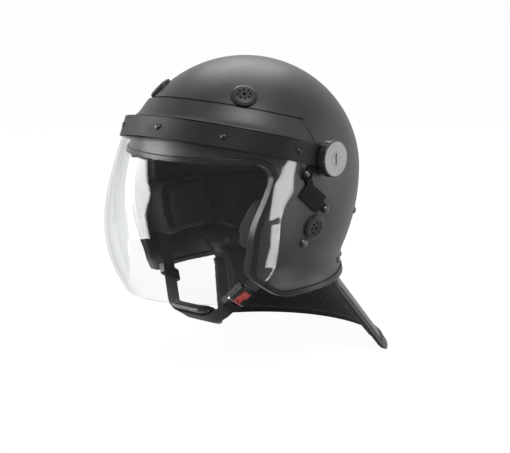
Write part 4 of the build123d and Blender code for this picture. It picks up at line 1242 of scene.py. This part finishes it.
@dataclass
class ChinStrap:
    """Webbing, buckle, chin cup and slider."""

    anchor: Span = (-27.75 * MM, -157.78 * MM)
    lean: float = radians(31.0)
    anchor_x: float = 100.0 * MM
    tab: float = 9.0 * MM
    corner_x: float = 30.0 * MM
    reach: float = 106.0 * MM
    tab_bend: float = 12.0 * MM
    chin_bend: float = 30.0 * MM
    wall: float = 2.0 * MM
    width: float = 22.0 * MM
    section: tuple[Span, ...] = (
        (-1.0, 0.0), (-0.96, 0.95), (-0.9, 0.95), (-0.84, 0.8), (-0.4, 0.8), (0.0, 0.8),
        (0.4, 0.8), (0.84, 0.8), (0.9, 0.95), (0.96, 0.95), (1.0, 0.0))
    left_end: float = 65.0 * MM
    right_start: float = 92.3 * MM
    step: float = 1.5 * MM
    sewn_points: int = 9
    sewn_from_start: int = 8
    sewn_from_end: int = 18
    sewn_rows: Span = (-0.36, 0.36)
    sewn_rise: float = 0.44
    stitch: tuple[float, float, float] = (2.4 * MM, 1.0 * MM, 0.25 * MM)
    cup: Easing = (1.0 * MM, 6)

    def point(self, across: float, drop: float) -> Vector:
        """Point of the strap's plane, at a place across and a height above the anchors."""
        return Vector((across, self.anchor[0] + drop * sin(self.lean),
                       self.anchor[1] + drop * cos(self.lean)))

    def side(self) -> Vector:
        """The way across the webbing, square to the strap's plane."""
        return Vector((0.0, -cos(self.lean), sin(self.lean)))

    def line(self) -> list[Vector]:
        """Middle line of the whole loop, from the left tab to the right one.

        Returns:
            Points about one step apart.
        """
        half = [Vector((self.anchor_x, self.tab)), Vector((self.anchor_x, -self.tab)),
                Vector((self.corner_x, -self.reach))]
        corners = half + [Vector((-corner.x, corner.y)) for corner in reversed(half)]
        bends = [0.0, self.tab_bend, self.chin_bend, self.chin_bend, self.tab_bend, 0.0]
        return [self.point(place.x, place.y) for place in rounded(corners, bends, self.step)]

    def strip(self, points: Sequence[Vector]) -> bpy.types.Mesh:
        """Webbing along a line, with thicker selvedges and its own map of threads.

        Args:
            points: the webbing's middle line.

        Returns:
            A closed mesh with a "strap" map in metres.
        """
        half, wall, side = self.width / 2, self.wall / 2, self.side()
        under = [(across, -rise) for across, rise in reversed(self.section[1:-1])]
        ring = [*self.section, *under]
        rings = []
        for index, point in enumerate(points):
            after = points[min(index + 1, len(points) - 1)]
            out = (after - points[max(index - 1, 0)]).normalized().cross(side)
            rings.append([point + side * across * half + out * rise * wall
                          for across, rise in ring])
        places = [[(across * half, run) for across, _ in ring] for run in distances(points)]
        return lofted("webbing", rings, places)

    def straps(self) -> None:
        """Build the two lengths of webbing."""
        line = self.line()
        reach = distances(line)
        start = self.tab * 2
        left = [point for point, run in zip(line, reach) if run <= start + self.left_end]
        right = [point for point, run in zip(line, reach) if run >= start + self.right_start]
        for name, points in (("chin_strap_left", left), ("chin_strap_right", right)):
            new_piece(f"{name}_webbing", self.strip(points), WEBBING, "chin_strap",
                      [name])
            self.sewing(name, points)

    def sewn_box(self, line: Sequence[Vector], start: int) -> list[list[Vector]]:
        """Four rows of stitches in a box, on both faces of the webbing.

        Args:
            line: the webbing's middle line.
            start: the first point of the box.

        Returns:
            The rows.
        """
        side = self.side()
        rows = []
        for face in (1.0, -1.0):
            for share in self.sewn_rows:
                row = []
                for index in range(start, start + self.sewn_points + 1):
                    run = (line[index + 1] - line[index - 1]).normalized()
                    row.append(line[index] + side * self.width * share
                               + run.cross(side) * face * self.wall * self.sewn_rise)
                rows.append(row)
            rows.append([rows[-2][0], rows[-1][0]])
            rows.append([rows[-3][-1], rows[-2][-1]])
        return rows

    def sewing(self, name: str, line: Sequence[Vector]) -> None:
        """Sew a length of webbing at both its ends.

        Args:
            name: the webbing's node.
            line: its middle line.
        """
        rows = []
        for start in (self.sewn_from_start, len(line) - self.sewn_from_end):
            rows.extend(self.sewn_box(line, start))
        new_piece(f"{name}_stitches", stitched(rows, *self.stitch), THREAD, "chin_strap")

    def build(self) -> None:
        """Build the strap and dress what it carries."""
        self.straps()
        dress({"buckle_frame": EYELET, "buckle_tongue": PLASTIC, "strap_slider": PLASTIC,
               "lever_pin": STEEL, "lever_spring": STEEL, "release_lever": RED,
               "chin_cup": CUP_LEATHER})
        pad = new_piece("chin_cup_pad_cover", softened("chin_cup_pad", *self.cup), LINING,
                        "chin_strap", ["chin_cup_pad"])


@dataclass
class NeckGuard:
    """Padded skirt behind the neck, with a bound, piped and stitched edge."""

    outline: tuple[Span, ...] = (
        (23.0 * MM, -165.9 * MM), (52.0 * MM, -221.0 * MM), (99.85 * MM, -301.4 * MM),
        (226.0 * MM, -301.4 * MM))
    bends: tuple[float, ...] = (0.0, 58.0 * MM, 17.4 * MM, 0.0)
    bound_below: float = -218.0 * MM
    hem_from: float = 112.0 * MM
    hem_start: float = 0.5
    step: float = 2.0 * MM
    skirt: Easing = (1.2 * MM, 2)
    pad: Easing = (1.5 * MM, 6)
    pad_swell: float = 2.0 * MM
    tape: Easing = (0.9 * MM, 3)
    piping_inset: float = 7.6 * MM
    piping_radius: float = 0.9 * MM
    stitch_insets: Span = (4.2 * MM, 11.0 * MM)
    stitch_lift: float = 0.05 * MM

    def edge(self, skin: Skin, inset: float, lift: float) -> list[Vector]:
        """Line on the skirt's outside that keeps a distance from its edge.

        Args:
            skin: the skirt's surface.
            inset: distance from the edge.
            lift: distance off the surface.

        Returns:
            Points from the top of the left side, round the hem, to the top of the right side.
        """
        flat = rounded([Vector(corner) for corner in self.outline], self.bends, self.step)
        spots = []
        for before, spot, after in zip(flat, flat[1:], flat[2:]):
            run = (after - before).normalized()
            moved = spot + Vector((-run.y, run.x)) * inset
            if moved.x < self.hem_from and moved.y < self.bound_below:
                spots.append(moved)
        found = skin.sideways(spots, FAR, -1.0, lift)
        last = found[-1]
        start = atan2(last.x, last.y)
        count = int(start * last.length / self.step)
        for number in range(1, count + 1):
            turn = start * (1 - number / count)
            way = Vector((sin(turn), cos(turn), 0.0))
            hit = skin.shot(way * self.hem_start + Vector((0.0, 0.0, last.z)), -way, lift)
            if hit is not None:
                found.append(hit)
        mirrored = [Vector((-point.x, point.y, point.z)) for point in reversed(found[:-1])]
        return found + mirrored

    def build(self) -> None:
        """Build the skirt, its pad, its binding and its sewing."""
        skirt = new_piece("neck_guard_cover", softened("neck_guard", *self.skirt),
                          LEATHERCLOTH, "helmet", ["neck_guard"])
        mesh = inflated(softened("guard_pad", *self.pad), self.pad_swell)
        pad = new_piece("guard_pad_cover", mesh, LINING, "helmet", ["guard_pad"])
        tape = new_piece("guard_binding_tape", softened("guard_binding", *self.tape), TAPE,
                         "helmet", ["guard_binding"])
        skin = Skin([skirt.data, tape.data])
        piping = tubes([self.edge(skin, self.piping_inset, 0.0)], self.piping_radius)
        new_piece("guard_piping", piping, RUBBER, "helmet")
        rows = [self.edge(skin, inset, self.stitch_lift) for inset in self.stitch_insets]
        new_piece("guard_stitches", stitched(rows), THREAD, "helmet")
        dress({"guard_screws": RING_METAL})


def main() -> None:
    """Build every part of the looks in order."""
    logging.basicConfig(level=logging.INFO, format="%(name)s: %(message)s")
    for part in (Studio(), Shell(), VisorSet(), Pivots(), MaskStrap(), Lining(), ChinStrap(),
                 NeckGuard()):
        part.build()
        log.info("finished %s", type(part).__name__)


if __name__ == "__main__":
    main()
